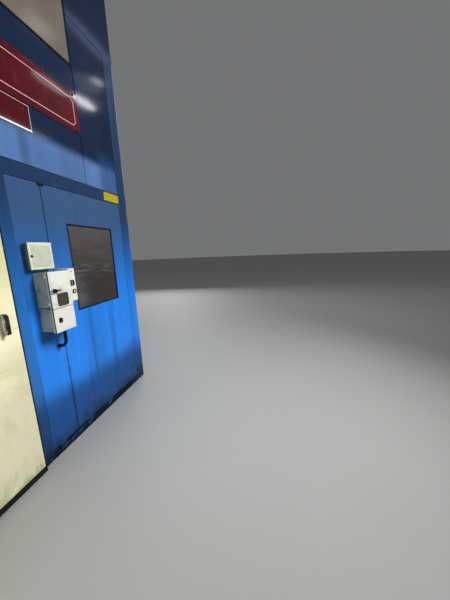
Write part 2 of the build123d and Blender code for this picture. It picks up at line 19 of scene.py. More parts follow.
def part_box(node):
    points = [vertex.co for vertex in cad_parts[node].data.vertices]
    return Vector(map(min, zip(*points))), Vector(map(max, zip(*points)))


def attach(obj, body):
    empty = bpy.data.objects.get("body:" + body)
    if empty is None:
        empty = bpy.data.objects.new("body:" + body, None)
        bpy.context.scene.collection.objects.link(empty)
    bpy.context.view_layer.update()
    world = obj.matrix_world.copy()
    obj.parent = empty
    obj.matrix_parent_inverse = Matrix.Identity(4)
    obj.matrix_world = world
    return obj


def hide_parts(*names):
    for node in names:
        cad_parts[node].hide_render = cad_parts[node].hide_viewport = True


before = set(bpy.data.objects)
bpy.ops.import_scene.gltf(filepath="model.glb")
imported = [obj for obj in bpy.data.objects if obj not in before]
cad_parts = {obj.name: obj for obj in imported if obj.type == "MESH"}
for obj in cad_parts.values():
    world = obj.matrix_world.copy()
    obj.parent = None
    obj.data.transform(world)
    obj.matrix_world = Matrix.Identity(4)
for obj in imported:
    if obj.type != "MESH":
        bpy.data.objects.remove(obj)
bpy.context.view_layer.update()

log = logging.getLogger("press")
SMOOTH_ANGLE = math.radians(35)
SHARP_ANGLE = math.radians(30)

# A face or edge counts as looking a way above the first cosine, and squarely so above the second.
LOOKS = 0.9
SQUARELY = 0.95
# Levels that are closer than this are one.
CLOSE = 1e-4
# The sides of a drum where no other number is given.
ROUND_SIDES = 32

# The roughness of every noise pattern, and how its offset is shared among the axes.
NOISE_ROUGHNESS = 0.58
SHIFT_SHARES = (1.0, 1.7, 0.6)
# The colour sockets of a Mix node.
MIX_FACTOR, MIX_FIRST, MIX_SECOND, MIX_RESULT = 0, 6, 7, 2

Colour = tuple[float, float, float]
Point = tuple[float, float, float]
Pair = tuple[float, float]
Piece = bpy.types.Object
Socket = bpy.types.NodeSocket
Value = Socket | float | Colour
Test = Callable[[Vector, Vector], bool]


class Slot(str, Enum):
    """Material slots of the record, one named for each new piece, though none is set on it."""

    BLUE = "blue_paint"
    GREY = "grey_paint"
    BOARD = "red_board"
    PLATE = "yellow_plate"
    PLASTIC = "black_plastic"
    SEAL = "seal_rubber"
    HINGE = "hinge_steel"
    PRESS = "press_paint"
    COLUMN = "column_steel"
    DIE = "die_steel"


class Finish(str, Enum):
    """Finishes, by the names of their materials."""

    BLUE = "blue_enamel"
    FRAME = "blue_frame_enamel"
    POST = "blue_post_enamel"
    UPPER = "blue_upper_enamel"
    WALL = "blue_wall_enamel"
    BASE = "base_rail_enamel"
    CREAM = "cream_enamel"
    # The upper cream is a much darker copy of the door's cream: painted shade.
    CREAM_UPPER = "cream_upper_enamel"
    BOX = "box_powder_coat"
    # The rim is a paler copy of the box coat: painted highlight.
    BOX_RIM = "box_rim_powder_coat"
    # The junction box's body is a much darker copy of the box coat: painted shade.
    BOX_SHELL = "box_shell_powder_coat"
    STATION = "station_powder_coat"
    CASE = "case_powder_coat"
    # The box bodies' coat is a darker copy of the station's: painted shade.
    SHELL = "shell_powder_coat"
    KEY = "grey_key_plastic"
    LABEL = "white_label"
    CREAM_LABEL = "cream_label"
    BOARD = "board_enamel"
    LINE = "board_line"
    EDGE = "board_edge"
    PLATE = "plate_enamel"
    PLATE_LINE = "plate_line"
    RUBBER = "seal_rubber"
    SEAM = "oversprayed_seal_rubber"
    PLASTIC = "black_plastic"
    COVER = "cover_plastic"
    HANDLE = "handle_plastic"
    PANE = "tinted_pane"
    BRIGHT = "bright_steel"
    COLUMN = "column_steel"
    ZINC = "zinc_steel"
    HINGE = "hinge_enamel"
    PRESS = "press_enamel"
    DIE = "die_steel"
    FLOOR = "studio_floor"


class Body(str, Enum):
    """Bodies that pieces ride on."""

    ENCLOSURE = "enclosure"
    DOOR = "door"
    JUNCTION_LID = "junction_lid"
    CONTROL_DOOR = "control_door"
    SWITCH = "rotary_switch"
    TERMINAL_COVER = "terminal_cover"


class Axis(Enum):
    """Axes of the frame."""

    X = 0
    Y = 1
    Z = 2


class Facing(Enum):
    """The way that a fitting or a face looks, as its outward direction."""

    FRONT = (0.0, -1.0, 0.0)
    LEFT = (-1.0, 0.0, 0.0)
    RIGHT = (1.0, 0.0, 0.0)
    UP = (0.0, 0.0, 1.0)
    DOWN = (0.0, 0.0, -1.0)


class Element(Enum):
    """What is picked for a mesh operator."""

    FACE = "FACE"
    EDGE = "EDGE"


class LampShape(Enum):
    """Outlines of the soft lamps."""

    OVAL = "ELLIPSE"
    OBLONG = "RECTANGLE"


def shade(red: int, green: int, blue: int) -> Colour:
    """Turn a display colour into the linear colour that a shader takes.

    Args:
        red: Red from 0 to 255.
        green: Green from 0 to 255.
        blue: Blue from 0 to 255.

    Returns:
        The linear colour.
    """
    channels = (value / 255 for value in (red, green, blue))
    return tuple(c / 12.92 if c <= 0.04045 else ((c + 0.055) / 1.055) ** 2.4 for c in channels)


def darker(colour: Colour, share: float) -> Colour:
    """Return the colour with each channel cut to a share."""
    return tuple(share * channel for channel in colour)


@dataclass(frozen=True)
class Pattern:
    """A noise pattern: its features a metre, the levels between which it turns into soft
    patches, its factor along each axis, its offset from other patterns, and its octaves.
    """

    scale: float
    span: Pair = (0.0, 1.0)
    stretch: Point = (1.0, 1.0, 1.0)
    shift: float = 0.0
    detail: float = 3.0


@dataclass(frozen=True)
class Grain:
    """A surface's texture, with its depth in metres and its strength."""

    pattern: Pattern
    depth: float
    strength: float


class PaintSheet:
    """One material's node tree, grown a node at a time on Object coordinates."""

    def __init__(self, name: str) -> None:
        """Start an empty tree.

        Args:
            name: The material's name.
        """
        self.material = bpy.data.materials.new(name)
        self.material.use_nodes = True
        tree = self.material.node_tree
        tree.nodes.clear()
        self.nodes = tree.nodes
        self.links = tree.links
        self.shader = self.nodes.new("ShaderNodeBsdfPrincipled")
        output = self.nodes.new("ShaderNodeOutputMaterial")
        self.links.new(self.shader.outputs[0], output.inputs["Surface"])
        self.place = self.nodes.new("ShaderNodeTexCoord").outputs["Object"]
        self.axes = self.nodes.new("ShaderNodeSeparateXYZ")
        self.links.new(self.place, self.axes.inputs[0])
        self.normal: Socket | None = None

    def feed(self, socket: Socket, value: Value) -> None:
        """Give a socket a link or a fixed value.

        Args:
            socket: The input to fill.
            value: Another node's output, a number or a colour.
        """
        if isinstance(value, bpy.types.NodeSocket):
            self.links.new(value, socket)
        elif socket.type == "RGBA":
            socket.default_value = (*value, 1.0)
        else:
            socket.default_value = value

    def axis(self, axis: Axis) -> Socket:
        """Return the coordinate along an axis."""
        return self.axes.outputs[axis.value]

    def sum(self, *values: Value | tuple[Socket, float]) -> Socket:
        """Return the sum of the values, where a pair counts as its product."""
        return self.fold("ADD", [self.product(*v) if isinstance(v, tuple) else v for v in values])

    def product(self, *values: Value) -> Socket:
        """Return the product of the values."""
        return self.fold("MULTIPLY", values)

    def strongest(self, *values: Value) -> Socket:
        """Return the largest of the values."""
        return self.fold("MAXIMUM", values)

    def fold(self, operation: str, values: Iterable[Value]) -> Socket:
        """Chain one math operation over the values.

        Args:
            operation: The Math node's operation.
            values: Two or more outputs or numbers.

        Returns:
            The last node's output.
        """
        first, *others = values
        for other in others:
            node = self.nodes.new("ShaderNodeMath")
            node.operation = operation
            self.feed(node.inputs[0], first)
            self.feed(node.inputs[1], other)
            first = node.outputs[0]
        return first

    def apart(self, axis: Axis, level: float) -> Socket:
        """Return the distance from a level along one axis, never below 0."""
        return self.fold("ABSOLUTE", (self.sum(self.axis(axis), -level), 0.0))

    def ramp(self, value: Value, span: Pair) -> Socket:
        """Turn a value into a soft mask.

        Args:
            value: The output to read.
            span: Where the mask is 0 and where it is 1.

        Returns:
            The mask.
        """
        node = self.nodes.new("ShaderNodeMapRange")
        node.interpolation_type = "SMOOTHSTEP"
        self.feed(node.inputs["Value"], value)
        node.inputs["From Min"].default_value, node.inputs["From Max"].default_value = span
        return node.outputs["Result"]

    def hump(self, value: Value, rise: Pair, fall: Pair) -> Socket:
        """Return a mask that rises over one span of a value and falls over another."""
        return self.product(self.ramp(value, rise), self.ramp(value, fall))

    def noise(self, pattern: Pattern) -> Socket:
        """Add a noise pattern.

        Args:
            pattern: The pattern.

        Returns:
            Its value, from 0 to 1.
        """
        mapping = self.nodes.new("ShaderNodeMapping")
        mapping.inputs["Scale"].default_value = pattern.stretch
        mapping.inputs["Location"].default_value = tuple(share * pattern.shift for share in SHIFT_SHARES)
        self.links.new(self.place, mapping.inputs["Vector"])
        node = self.nodes.new("ShaderNodeTexNoise")
        node.inputs["Scale"].default_value = pattern.scale
        node.inputs["Detail"].default_value = pattern.detail
        node.inputs["Roughness"].default_value = NOISE_ROUGHNESS
        self.links.new(mapping.outputs[0], node.inputs["Vector"])
        return node.outputs["Fac"]

    def patches(self, pattern: Pattern) -> Socket:
        """Return a pattern's soft patches."""
        return self.ramp(self.noise(pattern), pattern.span)

    def near(self, point: Point, reach: float, core: float = 0.25) -> Socket:
        """Mask that is 1 round a point and fades to 0 at a distance.

        Args:
            point: The spot's middle.
            reach: Where the mask ends.
            core: The share of the reach that is full.

        Returns:
            The mask.
        """
        node = self.nodes.new("ShaderNodeVectorMath")
        node.operation = "DISTANCE"
        self.links.new(self.place, node.inputs[0])
        node.inputs[1].default_value = point
        return self.ramp(node.outputs["Value"], (reach, core * reach))

    def blend(self, factor: Value, first: Value, second: Value) -> Socket:
        """Mix two colours.

        Args:
            factor: How much of the second, from 0 to 1.
            first: The colour at 0.
            second: The colour at 1.

        Returns:
            The mixed colour.
        """
        node = self.nodes.new("ShaderNodeMix")
        node.data_type = "RGBA"
        for socket, value in ((MIX_FACTOR, factor), (MIX_FIRST, first), (MIX_SECOND, second)):
            self.feed(node.inputs[socket], value)
        return node.outputs[MIX_RESULT]

    def relief(self, height: Value, depth: float, strength: float) -> None:
        """Add a bump on top of those before it.

        Args:
            height: The pattern, from 0 to 1.
            depth: The height in metres that 1 stands for.
            strength: The bump's strength.
        """
        node = self.nodes.new("ShaderNodeBump")
        node.inputs["Strength"].default_value = strength
        node.inputs["Distance"].default_value = depth
        self.feed(node.inputs["Height"], height)
        if self.normal is not None:
            self.links.new(self.normal, node.inputs["Normal"])
        self.normal = node.outputs[0]

    def texture(self, grain: Grain) -> None:
        """Add a texture's bump on top of those before it."""
        self.relief(self.noise(grain.pattern), grain.depth, grain.strength)

    def close(self, colour: Value, roughness: Value, **fixed: float) -> None:
        """Wire up the shader.

        Args:
            colour: The base colour.
            roughness: The roughness.
            **fixed: Numbers for the shader's own sockets, with underscores for spaces.
        """
        self.feed(self.shader.inputs["Base Color"], colour)
        self.feed(self.shader.inputs["Roughness"], roughness)
        for name, value in fixed.items():
            self.shader.inputs[name.replace("_", " ")].default_value = value
        if self.normal is not None:
            self.links.new(self.normal, self.shader.inputs["Normal"])


class Recipe:
    """A finish that a material can be made of."""

    def paint(self, sheet: PaintSheet) -> None:
        """Add the finish's nodes to an empty tree."""
        raise NotImplementedError


@dataclass(frozen=True)
class SoftSpot:
    """A soft round spot: dirt where hands or oil have been, a painted shadow, or a pane's hazy patch."""

    point: Point
    reach: float
    strength: float


@dataclass(frozen=True)
class Stripe:
    """A wandering stripe, level or upright, between two ends: a faint line in the sheet, or a broad band of
    painted shade.
    """

    axis: Axis
    level: float
    along: Axis
    ends: Pair
    drift: float = 0.03
    half_width: float = 0.004
    strength: float = 0.4
    core: float = 0.25
    tone: Colour | None = None
    wander: Pattern = Pattern(3.0, shift=7.0)
    fade: float = 0.2

    def mask(self, sheet: PaintSheet) -> Socket:
        """Mask of the crease.

        Args:
            sheet: The node tree.

        Returns:
            The mask.
        """
        wander = sheet.product(sheet.noise(self.wander), self.drift)
        offset = sheet.sum(sheet.axis(self.axis), wander, -self.level - self.drift / 2)
        core = self.core * self.half_width
        line = sheet.hump(offset, (-self.half_width, -core), (self.half_width, core))
        start, end = self.ends
        fade = self.fade * (end - start)
        course = sheet.hump(sheet.axis(self.along), (start, start + fade), (end, end - fade))
        return sheet.product(line, course, self.strength)


@dataclass(frozen=True)
class EdgeHighlight:
    """A painted highlight along an upright corner edge, pale in patches, above a height."""

    x: float
    y: float
    bottom: float
    width: float = 0.018
    core: float = 0.5
    rise: float = 0.3
    wear_and_glint: Pattern = Pattern(5.0, (0.3, 0.6), (1.0, 1.0, 0.3), 3.7)
    strength: float = 0.55

    def mask(self, sheet: PaintSheet) -> Socket:
        """Mask of the rubbed edge.

        Args:
            sheet: The node tree.

        Returns:
            The mask.
        """
        reach = (self.width, self.core * self.width)
        across = sheet.ramp(sheet.apart(Axis.X, self.x), reach)
        inwards = sheet.ramp(sheet.apart(Axis.Y, self.y), reach)
        above = sheet.ramp(sheet.axis(Axis.Z), (self.bottom, self.bottom + self.rise))
        return sheet.product(across, inwards, above, sheet.patches(self.wear_and_glint), self.strength)


@dataclass(frozen=True)
class Enamel(Recipe):
    """Sprayed enamel on sheet steel, with bands, runs, floor grime, chips and smudges."""

    colour: Colour
    faded: Colour
    dirt: Colour
    # The tone below and its span in height: painted shade, with some grey dust, that grows with height.
    dulled: Colour | None = None
    shade_span: Pair = (1.75, 2.40)
    wander: float = 0.3
    roughness: float = 0.42
    dirt_roughness: float = 0.4
    mottle_roughness: float = 0.08
    coat: float = 0.35
    sheen: float = 0.13
    specular: float = 0.25
    waviness: float = 0.25
    wave_depth: float = 0.03
    shadow: float = 0.44
    bands: float = 0.28
    # Painted shade towards the floor, in the deep tone.
    low_shade: float = 0.0
    low_span: Pair = (0.62, 0.36)
    runs: float = 0.35
    scrapes: float = 0.0
    stains: float = 0.0
    stain_rise: Pair = (0.95, 0.3)
    grime_top: float = 0.30
    grime_foot: float = 0.02
    grime: float = 0.9
    ragged: Pair = (-0.22, -0.25)
    grime_lift: float = 0.22
    haze_reach: float = 2.2
    haze_foot: float = 0.1
    haze: float = 0.4
    chips: float = 0.45
    chip_tone: Colour = shade(58, 56, 54)
    chip_rise: Pair = (0.55, 0.03)
    low_chips: float = 0.12
    chip_relief: Pair = (0.0006, 0.4)
    scratches: float = 0.22
    scratch_tone: Colour = shade(150, 160, 170)
    seams: tuple[float, ...] = ()
    seam_reach: float = 0.04
    seam_rise: Pair = (1.0, 0.5)
    seam_dirt: float = 0.4
    dark_spots: tuple[SoftSpot, ...] = ()
    stripes: tuple[Stripe, ...] = ()
    # Painted highlights on corner edges, and their tone.
    edge_highlights: tuple[EdgeHighlight, ...] = ()
    rubbed_and_glint_tone: Colour = shade(172, 184, 204)
    cloud: Pattern = Pattern(0.8, (0.35, 0.7), detail=4)
    mottle: Pattern = Pattern(7.0, shift=3.1, detail=5)
    band: Pattern = Pattern(1.0, (0.38, 0.66), (5.0, 5.0, 0.18), 1.4, 2)
    streak: Pattern = Pattern(1.0, (0.52, 0.74), (11.0, 11.0, 0.55), 5.3, 6)
    scrape: Pattern = Pattern(24.0, (0.47, 0.54), (0.3, 0.3, 1.0), 4.6, 7)
    stain: Pattern = Pattern(1.0, (0.44, 0.66), (5.0, 5.0, 2.8), 8.2, 5)
    fleck: Pattern = Pattern(85.0, (0.78, 0.80), shift=9.7, detail=4)
    hair: Pattern = Pattern(90.0, (0.66, 0.74), (1.0, 1.0, 0.05), 6.6, 2)
    wave: Pattern = Pattern(1.3, stretch=(1.0, 1.0, 0.6), shift=2.2, detail=1)
    peel: Grain = Grain(Pattern(380.0, detail=1), 0.0004, 0.12)
    thin_patches: Pair = (0.3, 0.6)
    haze_patches: Pair = (0.3, 0.75)
    spot_patches: Pair = (0.2, 0.62)
    hair_patches: Pair = (0.4, 0.7)

    def paint(self, sheet: PaintSheet) -> None:
        """Add the enamel's nodes.

        Args:
            sheet: The node tree.
        """
        cloud = sheet.noise(self.cloud)
        mottle = sheet.noise(self.mottle)
        # Dirt, and the painted shadows among the spots, go on in the dirt colour.
        dirt_and_shadow_mask = self.dirt_and_shadow_mask(sheet, cloud, mottle)
        tone = sheet.blend(dirt_and_shadow_mask, self.body_tone(sheet, cloud), self.dirt)
        low = sheet.product(sheet.ramp(sheet.axis(Axis.Z), self.chip_rise), self.low_chips)
        flecks = sheet.sum(sheet.noise(self.fleck), low)
        chip_mask = sheet.product(sheet.ramp(flecks, self.fleck.span), self.chips)
        tone = sheet.blend(chip_mask, tone, self.chip_tone)
        hairs = sheet.product(sheet.patches(self.hair), sheet.ramp(mottle, self.hair_patches), self.scratches)
        tone = sheet.blend(hairs, tone, self.scratch_tone)
        # Faint lines, and broad bands of painted shade.
        for stripe in self.stripes:
            tone = sheet.blend(stripe.mask(sheet), tone, stripe.tone or self.dirt)
        # Painted highlights along corner edges.
        for edge in self.edge_highlights:
            tone = sheet.blend(edge.mask(sheet), tone, self.rubbed_and_glint_tone)
        gloss_loss = sheet.sum((dirt_and_shadow_mask, self.dirt_roughness), (mottle, self.mottle_roughness))
        sheet.relief(sheet.noise(self.wave), self.wave_depth, self.waviness)
        sheet.texture(self.peel)
        sheet.relief(chip_mask, *self.chip_relief)
        sheet.close(
            tone,
            sheet.sum(gloss_loss, self.roughness),
            Coat_Weight=self.coat,
            Coat_Roughness=self.sheen,
            Specular_IOR_Level=self.specular,
        )

    def body_tone(self, sheet: PaintSheet, cloud: Socket) -> Socket:
        """Colour of the paint before dirt, with its bands, and with painted shade that darkens it towards the
        floor and with height.

        Args:
            sheet: The node tree.
            cloud: A pattern of about a metre.

        Returns:
            The colour.
        """
        deep = darker(self.colour, self.shadow)
        tone = sheet.blend(sheet.ramp(cloud, self.cloud.span), self.colour, self.faded)
        tone = sheet.blend(sheet.product(sheet.patches(self.band), self.bands), tone, deep)
        height = sheet.sum(sheet.axis(Axis.Z), (cloud, self.wander), -0.5 * self.wander)
        # Painted shade towards the floor.
        if self.low_shade:
            tone = sheet.blend(sheet.product(sheet.ramp(height, self.low_span), self.low_shade), tone, deep)
        # Painted shade, with some grey dust, that grows with height.
        if self.dulled is not None:
            tone = sheet.blend(sheet.ramp(height, self.shade_span), tone, self.dulled)
        return tone

    def dirt_and_shadow_mask(self, sheet: PaintSheet, cloud: Socket, mottle: Socket) -> Socket:
        """Mask of all that lies on the paint, and of the painted shadows among its spots.

        Args:
            sheet: The node tree.
            cloud: A pattern of about a metre.
            mottle: A pattern of about a hand.

        Returns:
            The mask.
        """
        height = sheet.axis(Axis.Z)
        streaks = sheet.noise(self.streak)
        runs = sheet.ramp(streaks, self.streak.span)
        layers = [sheet.product(runs, sheet.ramp(cloud, self.thin_patches), self.runs)]
        mottle_share, streak_share = self.ragged
        edge = sheet.sum(height, (mottle, mottle_share), (streaks, streak_share), self.grime_lift)
        layers.append(sheet.product(sheet.ramp(edge, (self.grime_top, self.grime_foot)), self.grime))
        haze = sheet.ramp(edge, (self.haze_reach * self.grime_top, self.haze_foot))
        haze_patches = sheet.ramp(mottle, self.haze_patches)
        layers.append(sheet.product(haze, haze_patches, self.haze * self.grime))
        for seam in self.seams:
            beside = sheet.ramp(sheet.apart(Axis.X, seam), (self.seam_reach, 0.0))
            low = sheet.ramp(height, self.seam_rise)
            patches = sheet.ramp(mottle, self.thin_patches)
            layers.append(sheet.product(beside, low, patches, self.seam_dirt))
        if self.scrapes:
            layers.append(sheet.product(sheet.patches(self.scrape), self.scrapes))
        if self.stains:
            drips = sheet.patches(self.stain)
            layers.append(sheet.product(drips, sheet.ramp(height, self.stain_rise), self.stains))
        # Spots of dirt, and spots of painted shadow.
        for dark_spot in self.dark_spots:
            spot = sheet.near(dark_spot.point, dark_spot.reach)
            layers.append(sheet.product(spot, sheet.ramp(mottle, self.spot_patches), dark_spot.strength))
        return sheet.strongest(*layers)


@dataclass(frozen=True)
class SideLine:
    """A line round a box's sides: its lid's seal, or painted shading along a fold of the sheet."""

    level: float
    half_width: float
    colour: Colour
    edge: float = 0.0008


@dataclass(frozen=True)
class PowderCoat(Recipe):
    """Fine-textured powder coat of small wall boxes, with finger dirt and drips."""

    colour: Colour
    dirt: Colour = shade(120, 115, 100)
    dust: float = 0.4
    lines: tuple[SideLine, ...] = ()
    roughness: float = 0.36
    cloud_roughness: float = 0.18
    drip_share: float = 0.5
    pit_dirt: float = 0.35
    cloud: Pattern = Pattern(9.0, (0.45, 0.75), detail=4)
    drip: Pattern = Pattern(14.0, (0.58, 0.78), (3.0, 3.0, 0.22), 4.4, 5)
    pit: Pattern = Pattern(150.0, (0.70, 0.78), shift=1.9, detail=2)
    grain: Grain = Grain(Pattern(900.0, detail=2), 0.0003, 0.35)

    def paint(self, sheet: PaintSheet) -> None:
        """Add the powder coat's nodes.

        Args:
            sheet: The node tree.
        """
        cloud = sheet.noise(self.cloud)
        dust = sheet.product(sheet.ramp(cloud, self.cloud.span), self.dust)
        tone = sheet.blend(dust, self.colour, self.dirt)
        drips = sheet.product(sheet.patches(self.drip), self.drip_share * self.dust)
        tone = sheet.blend(drips, tone, self.dirt)
        tone = sheet.blend(sheet.product(sheet.patches(self.pit), self.pit_dirt), tone, self.dirt)
        for line in self.lines:
            span = (line.half_width + line.edge, line.half_width)
            tone = sheet.blend(sheet.ramp(sheet.apart(Axis.Y, line.level), span), tone, line.colour)
        sheet.texture(self.grain)
        roughness = sheet.sum(self.roughness, (cloud, self.cloud_roughness))
        sheet.close(tone, roughness, Coat_Weight=0.1, Coat_Roughness=0.3)


@dataclass(frozen=True)
class SignEnamel(Recipe):
    """High-gloss sign enamel, faded in clouds, with fine scratches and dust on it."""

    colour: Colour
    faded: Colour
    roughness: float = 0.34
    dust: Colour = shade(140, 112, 106)
    specular: float = 0.12
    dust_amount: float = 0.2
    dust_roughness: float = 0.2
    rough_dust: Pair = (0.5, 0.8)
    scratches: float = 0.12
    scratch_roughness: float = 0.1
    cloud: Pattern = Pattern(2.4, (0.38, 0.68), detail=5)
    film: Pattern = Pattern(30.0, (0.55, 0.85), (1.0, 1.0, 0.3), 6.1, 5)
    scratch: Pattern = Pattern(60.0, (0.68, 0.74), (0.08, 1.0, 1.0), 8.8, 2)
    grain: Grain = Grain(Pattern(5.0, detail=1), 0.004, 0.2)

    def paint(self, sheet: PaintSheet) -> None:
        """Add the sign enamel's nodes.

        Args:
            sheet: The node tree.
        """
        film = sheet.noise(self.film)
        tone = sheet.blend(sheet.patches(self.cloud), self.colour, self.faded)
        tone = sheet.blend(sheet.product(sheet.ramp(film, self.film.span), self.dust_amount), tone, self.dust)
        lines = sheet.patches(self.scratch)
        tone = sheet.blend(sheet.product(lines, self.scratches), tone, self.dust)
        sheet.texture(self.grain)
        dulled = sheet.ramp(film, self.rough_dust)
        roughness = sheet.sum(
            self.roughness, (dulled, self.dust_roughness), (lines, self.scratch_roughness)
        )
        sheet.close(
            tone, roughness, Coat_Weight=0.35, Coat_Roughness=0.06, Specular_IOR_Level=self.specular
        )


@dataclass(frozen=True)
class Rubber(Recipe):
    """Matt black seal rubber with grey bloom."""

    colour: Colour = shade(18, 18, 19)
    bloomed: Colour = shade(46, 45, 44)
    roughness: float = 0.62
    bloom_roughness: float = 0.25
    bloom: Pattern = Pattern(26.0, (0.45, 0.8), detail=5)
    grain: Grain = Grain(Pattern(700.0, detail=2), 0.0003, 0.5)

    def paint(self, sheet: PaintSheet) -> None:
        """Add the rubber's nodes.

        Args:
            sheet: The node tree.
        """
        bloom = sheet.noise(self.bloom)
        tone = sheet.blend(sheet.ramp(bloom, self.bloom.span), self.colour, self.bloomed)
        sheet.texture(self.grain)
        roughness = sheet.sum(self.roughness, (bloom, self.bloom_roughness))
        sheet.close(tone, roughness, Specular_IOR_Level=0.3)


@dataclass(frozen=True)
class Plastic(Recipe):
    """Moulded plastic with a fine sparked texture, paler in patches where hands go, and with a mottled
    painted highlight on one side of a grip.
    """

    colour: Colour
    rubbed_and_glint_tone: Colour
    roughness: float = 0.42
    glint_left_of: float | None = None
    glint_edge: float = 0.001
    light_wear: float = 0.06
    glint_strength: float = 0.8
    wear_gloss: float = -0.1
    wear_and_glint: Pattern = Pattern(38.0, (0.42, 0.72), shift=1.1, detail=5)
    blotch: Pattern = Pattern(45.0, (0.25, 0.7), shift=2.6, detail=3)
    grain: Grain = Grain(Pattern(1100.0, detail=2), 0.0002, 0.4)

    def paint(self, sheet: PaintSheet) -> None:
        """Add the plastic's nodes.

        Args:
            sheet: The node tree.
        """
        wear_and_glint = sheet.patches(self.wear_and_glint)
        # Left of a given X, the paler tone is a mottled painted highlight on the grip's side.
        if self.glint_left_of is not None:
            side = sheet.ramp(sheet.axis(Axis.X), (self.glint_left_of + self.glint_edge, self.glint_left_of))
            glint = sheet.product(side, sheet.patches(self.blotch), self.glint_strength)
            wear_and_glint = sheet.strongest(sheet.product(wear_and_glint, self.light_wear), glint)
        tone = sheet.blend(wear_and_glint, self.colour, self.rubbed_and_glint_tone)
        sheet.texture(self.grain)
        roughness = sheet.sum(self.roughness, (wear_and_glint, self.wear_gloss))
        sheet.close(tone, roughness, Specular_IOR_Level=0.4)


@dataclass(frozen=True)
class TintedPane(Recipe):
    """Brown tinted safety pane with wipe smears, a hazy patch and a film of oil dust."""

    haze: SoftSpot
    tint: Colour = shade(66, 62, 62)
    dulled: Colour = shade(92, 88, 87)
    bloom: Colour = shade(150, 152, 160)
    smeared: Colour = shade(152, 128, 112)
    dust_span: Pair = (1.25, 1.80)
    smear_span: Pair = (1.30, 1.52)
    wiped: float = 0.35
    dust: float = 0.5
    scratches: float = 0.25
    smears: float = 0.62
    clearness: float = 0.42
    film_loss: float = -0.2
    haze_loss: float = -0.3
    roughness: float = 0.14
    film_roughness: float = 0.3
    haze_roughness: float = 0.2
    wipe: Pattern = Pattern(7.0, (0.35, 0.8), (0.5, 1.0, 2.6), 2.7, 6)
    wipe_relief: Pair = (0.0006, 0.15)
    cloud: Pattern = Pattern(3.0, (0.2, 0.7), shift=5.5, detail=4)
    scratch: Pattern = Pattern(48.0, (0.68, 0.8), (0.12, 1.0, 1.0), 9.1, 3)
    streak: Pattern = Pattern(20.0, (0.46, 0.72), (0.35, 1.0, 2.4), 6.2, 7)

    def paint(self, sheet: PaintSheet) -> None:
        """Add the pane's nodes.

        Args:
            sheet: The node tree.
        """
        level = sheet.axis(Axis.Z)
        wipe = sheet.patches(self.wipe)
        dust = sheet.product(sheet.ramp(level, self.dust_span), self.dust)
        scratches = sheet.product(sheet.patches(self.scratch), self.scratches)
        film = sheet.strongest(sheet.sum((wipe, self.wiped), dust), scratches)
        spot = sheet.near(self.haze.point, self.haze.reach, 0.0)
        patch = sheet.product(spot, sheet.patches(self.cloud), self.haze.strength)
        low, high = self.smear_span
        middle = (low + high) / 2
        band = sheet.hump(level, (low, middle), (high, middle))
        smear = sheet.product(band, sheet.patches(self.streak), self.smears)
        tone = sheet.blend(smear, sheet.blend(film, self.tint, self.dulled), self.smeared)
        tone = sheet.blend(patch, tone, self.bloom)
        see_through = sheet.sum(self.clearness, (film, self.film_loss), (patch, self.haze_loss))
        sheet.feed(sheet.shader.inputs["Transmission Weight"], see_through)
        sheet.relief(wipe, *self.wipe_relief)
        roughness = sheet.sum(self.roughness, (film, self.film_roughness), (patch, self.haze_roughness))
        sheet.close(tone, roughness, IOR=1.49, Specular_IOR_Level=0.4)


@dataclass(frozen=True)
class GroundSteel(Recipe):
    """Ground or turned steel with fine tool lines and an oil film."""

    colour: Colour = shade(165, 163, 158)
    oil: Colour = shade(96, 84, 66)
    roughness: float = 0.24
    line_stretch: Point = (0.6, 0.6, 1.0)
    line_scale: float = 520.0
    line_relief: Pair = (0.0002, 0.3)
    line_roughness: float = 0.08
    oiled: float = 0.7
    oil_roughness: float = 0.14
    film: Pattern = Pattern(6.0, (0.48, 0.72), (1.0, 1.0, 0.35), 3.3, 5)

    def paint(self, sheet: PaintSheet) -> None:
        """Add the steel's nodes.

        Args:
            sheet: The node tree.
        """
        lines = sheet.noise(Pattern(self.line_scale, stretch=self.line_stretch, detail=2))
        film = sheet.patches(self.film)
        tone = sheet.blend(sheet.product(film, self.oiled), self.colour, self.oil)
        sheet.relief(lines, *self.line_relief)
        roughness = sheet.sum(self.roughness, (film, self.oil_roughness), (lines, self.line_roughness))
        sheet.close(tone, roughness, Metallic=1.0)


@dataclass(frozen=True)
class ScaledSteel(Recipe):
    """Tool steel darkened by heat, with scale, straw and blue tints."""

    colour: Colour = shade(74, 68, 66)
    straw: Colour = shade(120, 92, 62)
    scale: Colour = shade(34, 31, 32)
    roughness: float = 0.34
    crust_roughness: float = 0.3
    metal: float = 0.9
    crust_metal: float = -0.6
    crust: Pattern = Pattern(60.0, (0.46, 0.60), shift=4.0, detail=6)
    crust_relief: Pair = (0.0012, 0.5)
    heat: Pattern = Pattern(5.0, (0.4, 0.7), detail=4)

    def paint(self, sheet: PaintSheet) -> None:
        """Add the scaled steel's nodes.

        Args:
            sheet: The node tree.
        """
        crust = sheet.noise(self.crust)
        scale = sheet.ramp(crust, self.crust.span)
        tone = sheet.blend(sheet.patches(self.heat), self.colour, self.straw)
        tone = sheet.blend(scale, tone, self.scale)
        sheet.relief(crust, *self.crust_relief)
        sheet.feed(sheet.shader.inputs["Metallic"], sheet.sum(self.metal, (scale, self.crust_metal)))
        sheet.close(tone, sheet.sum(self.roughness, (scale, self.crust_roughness)))


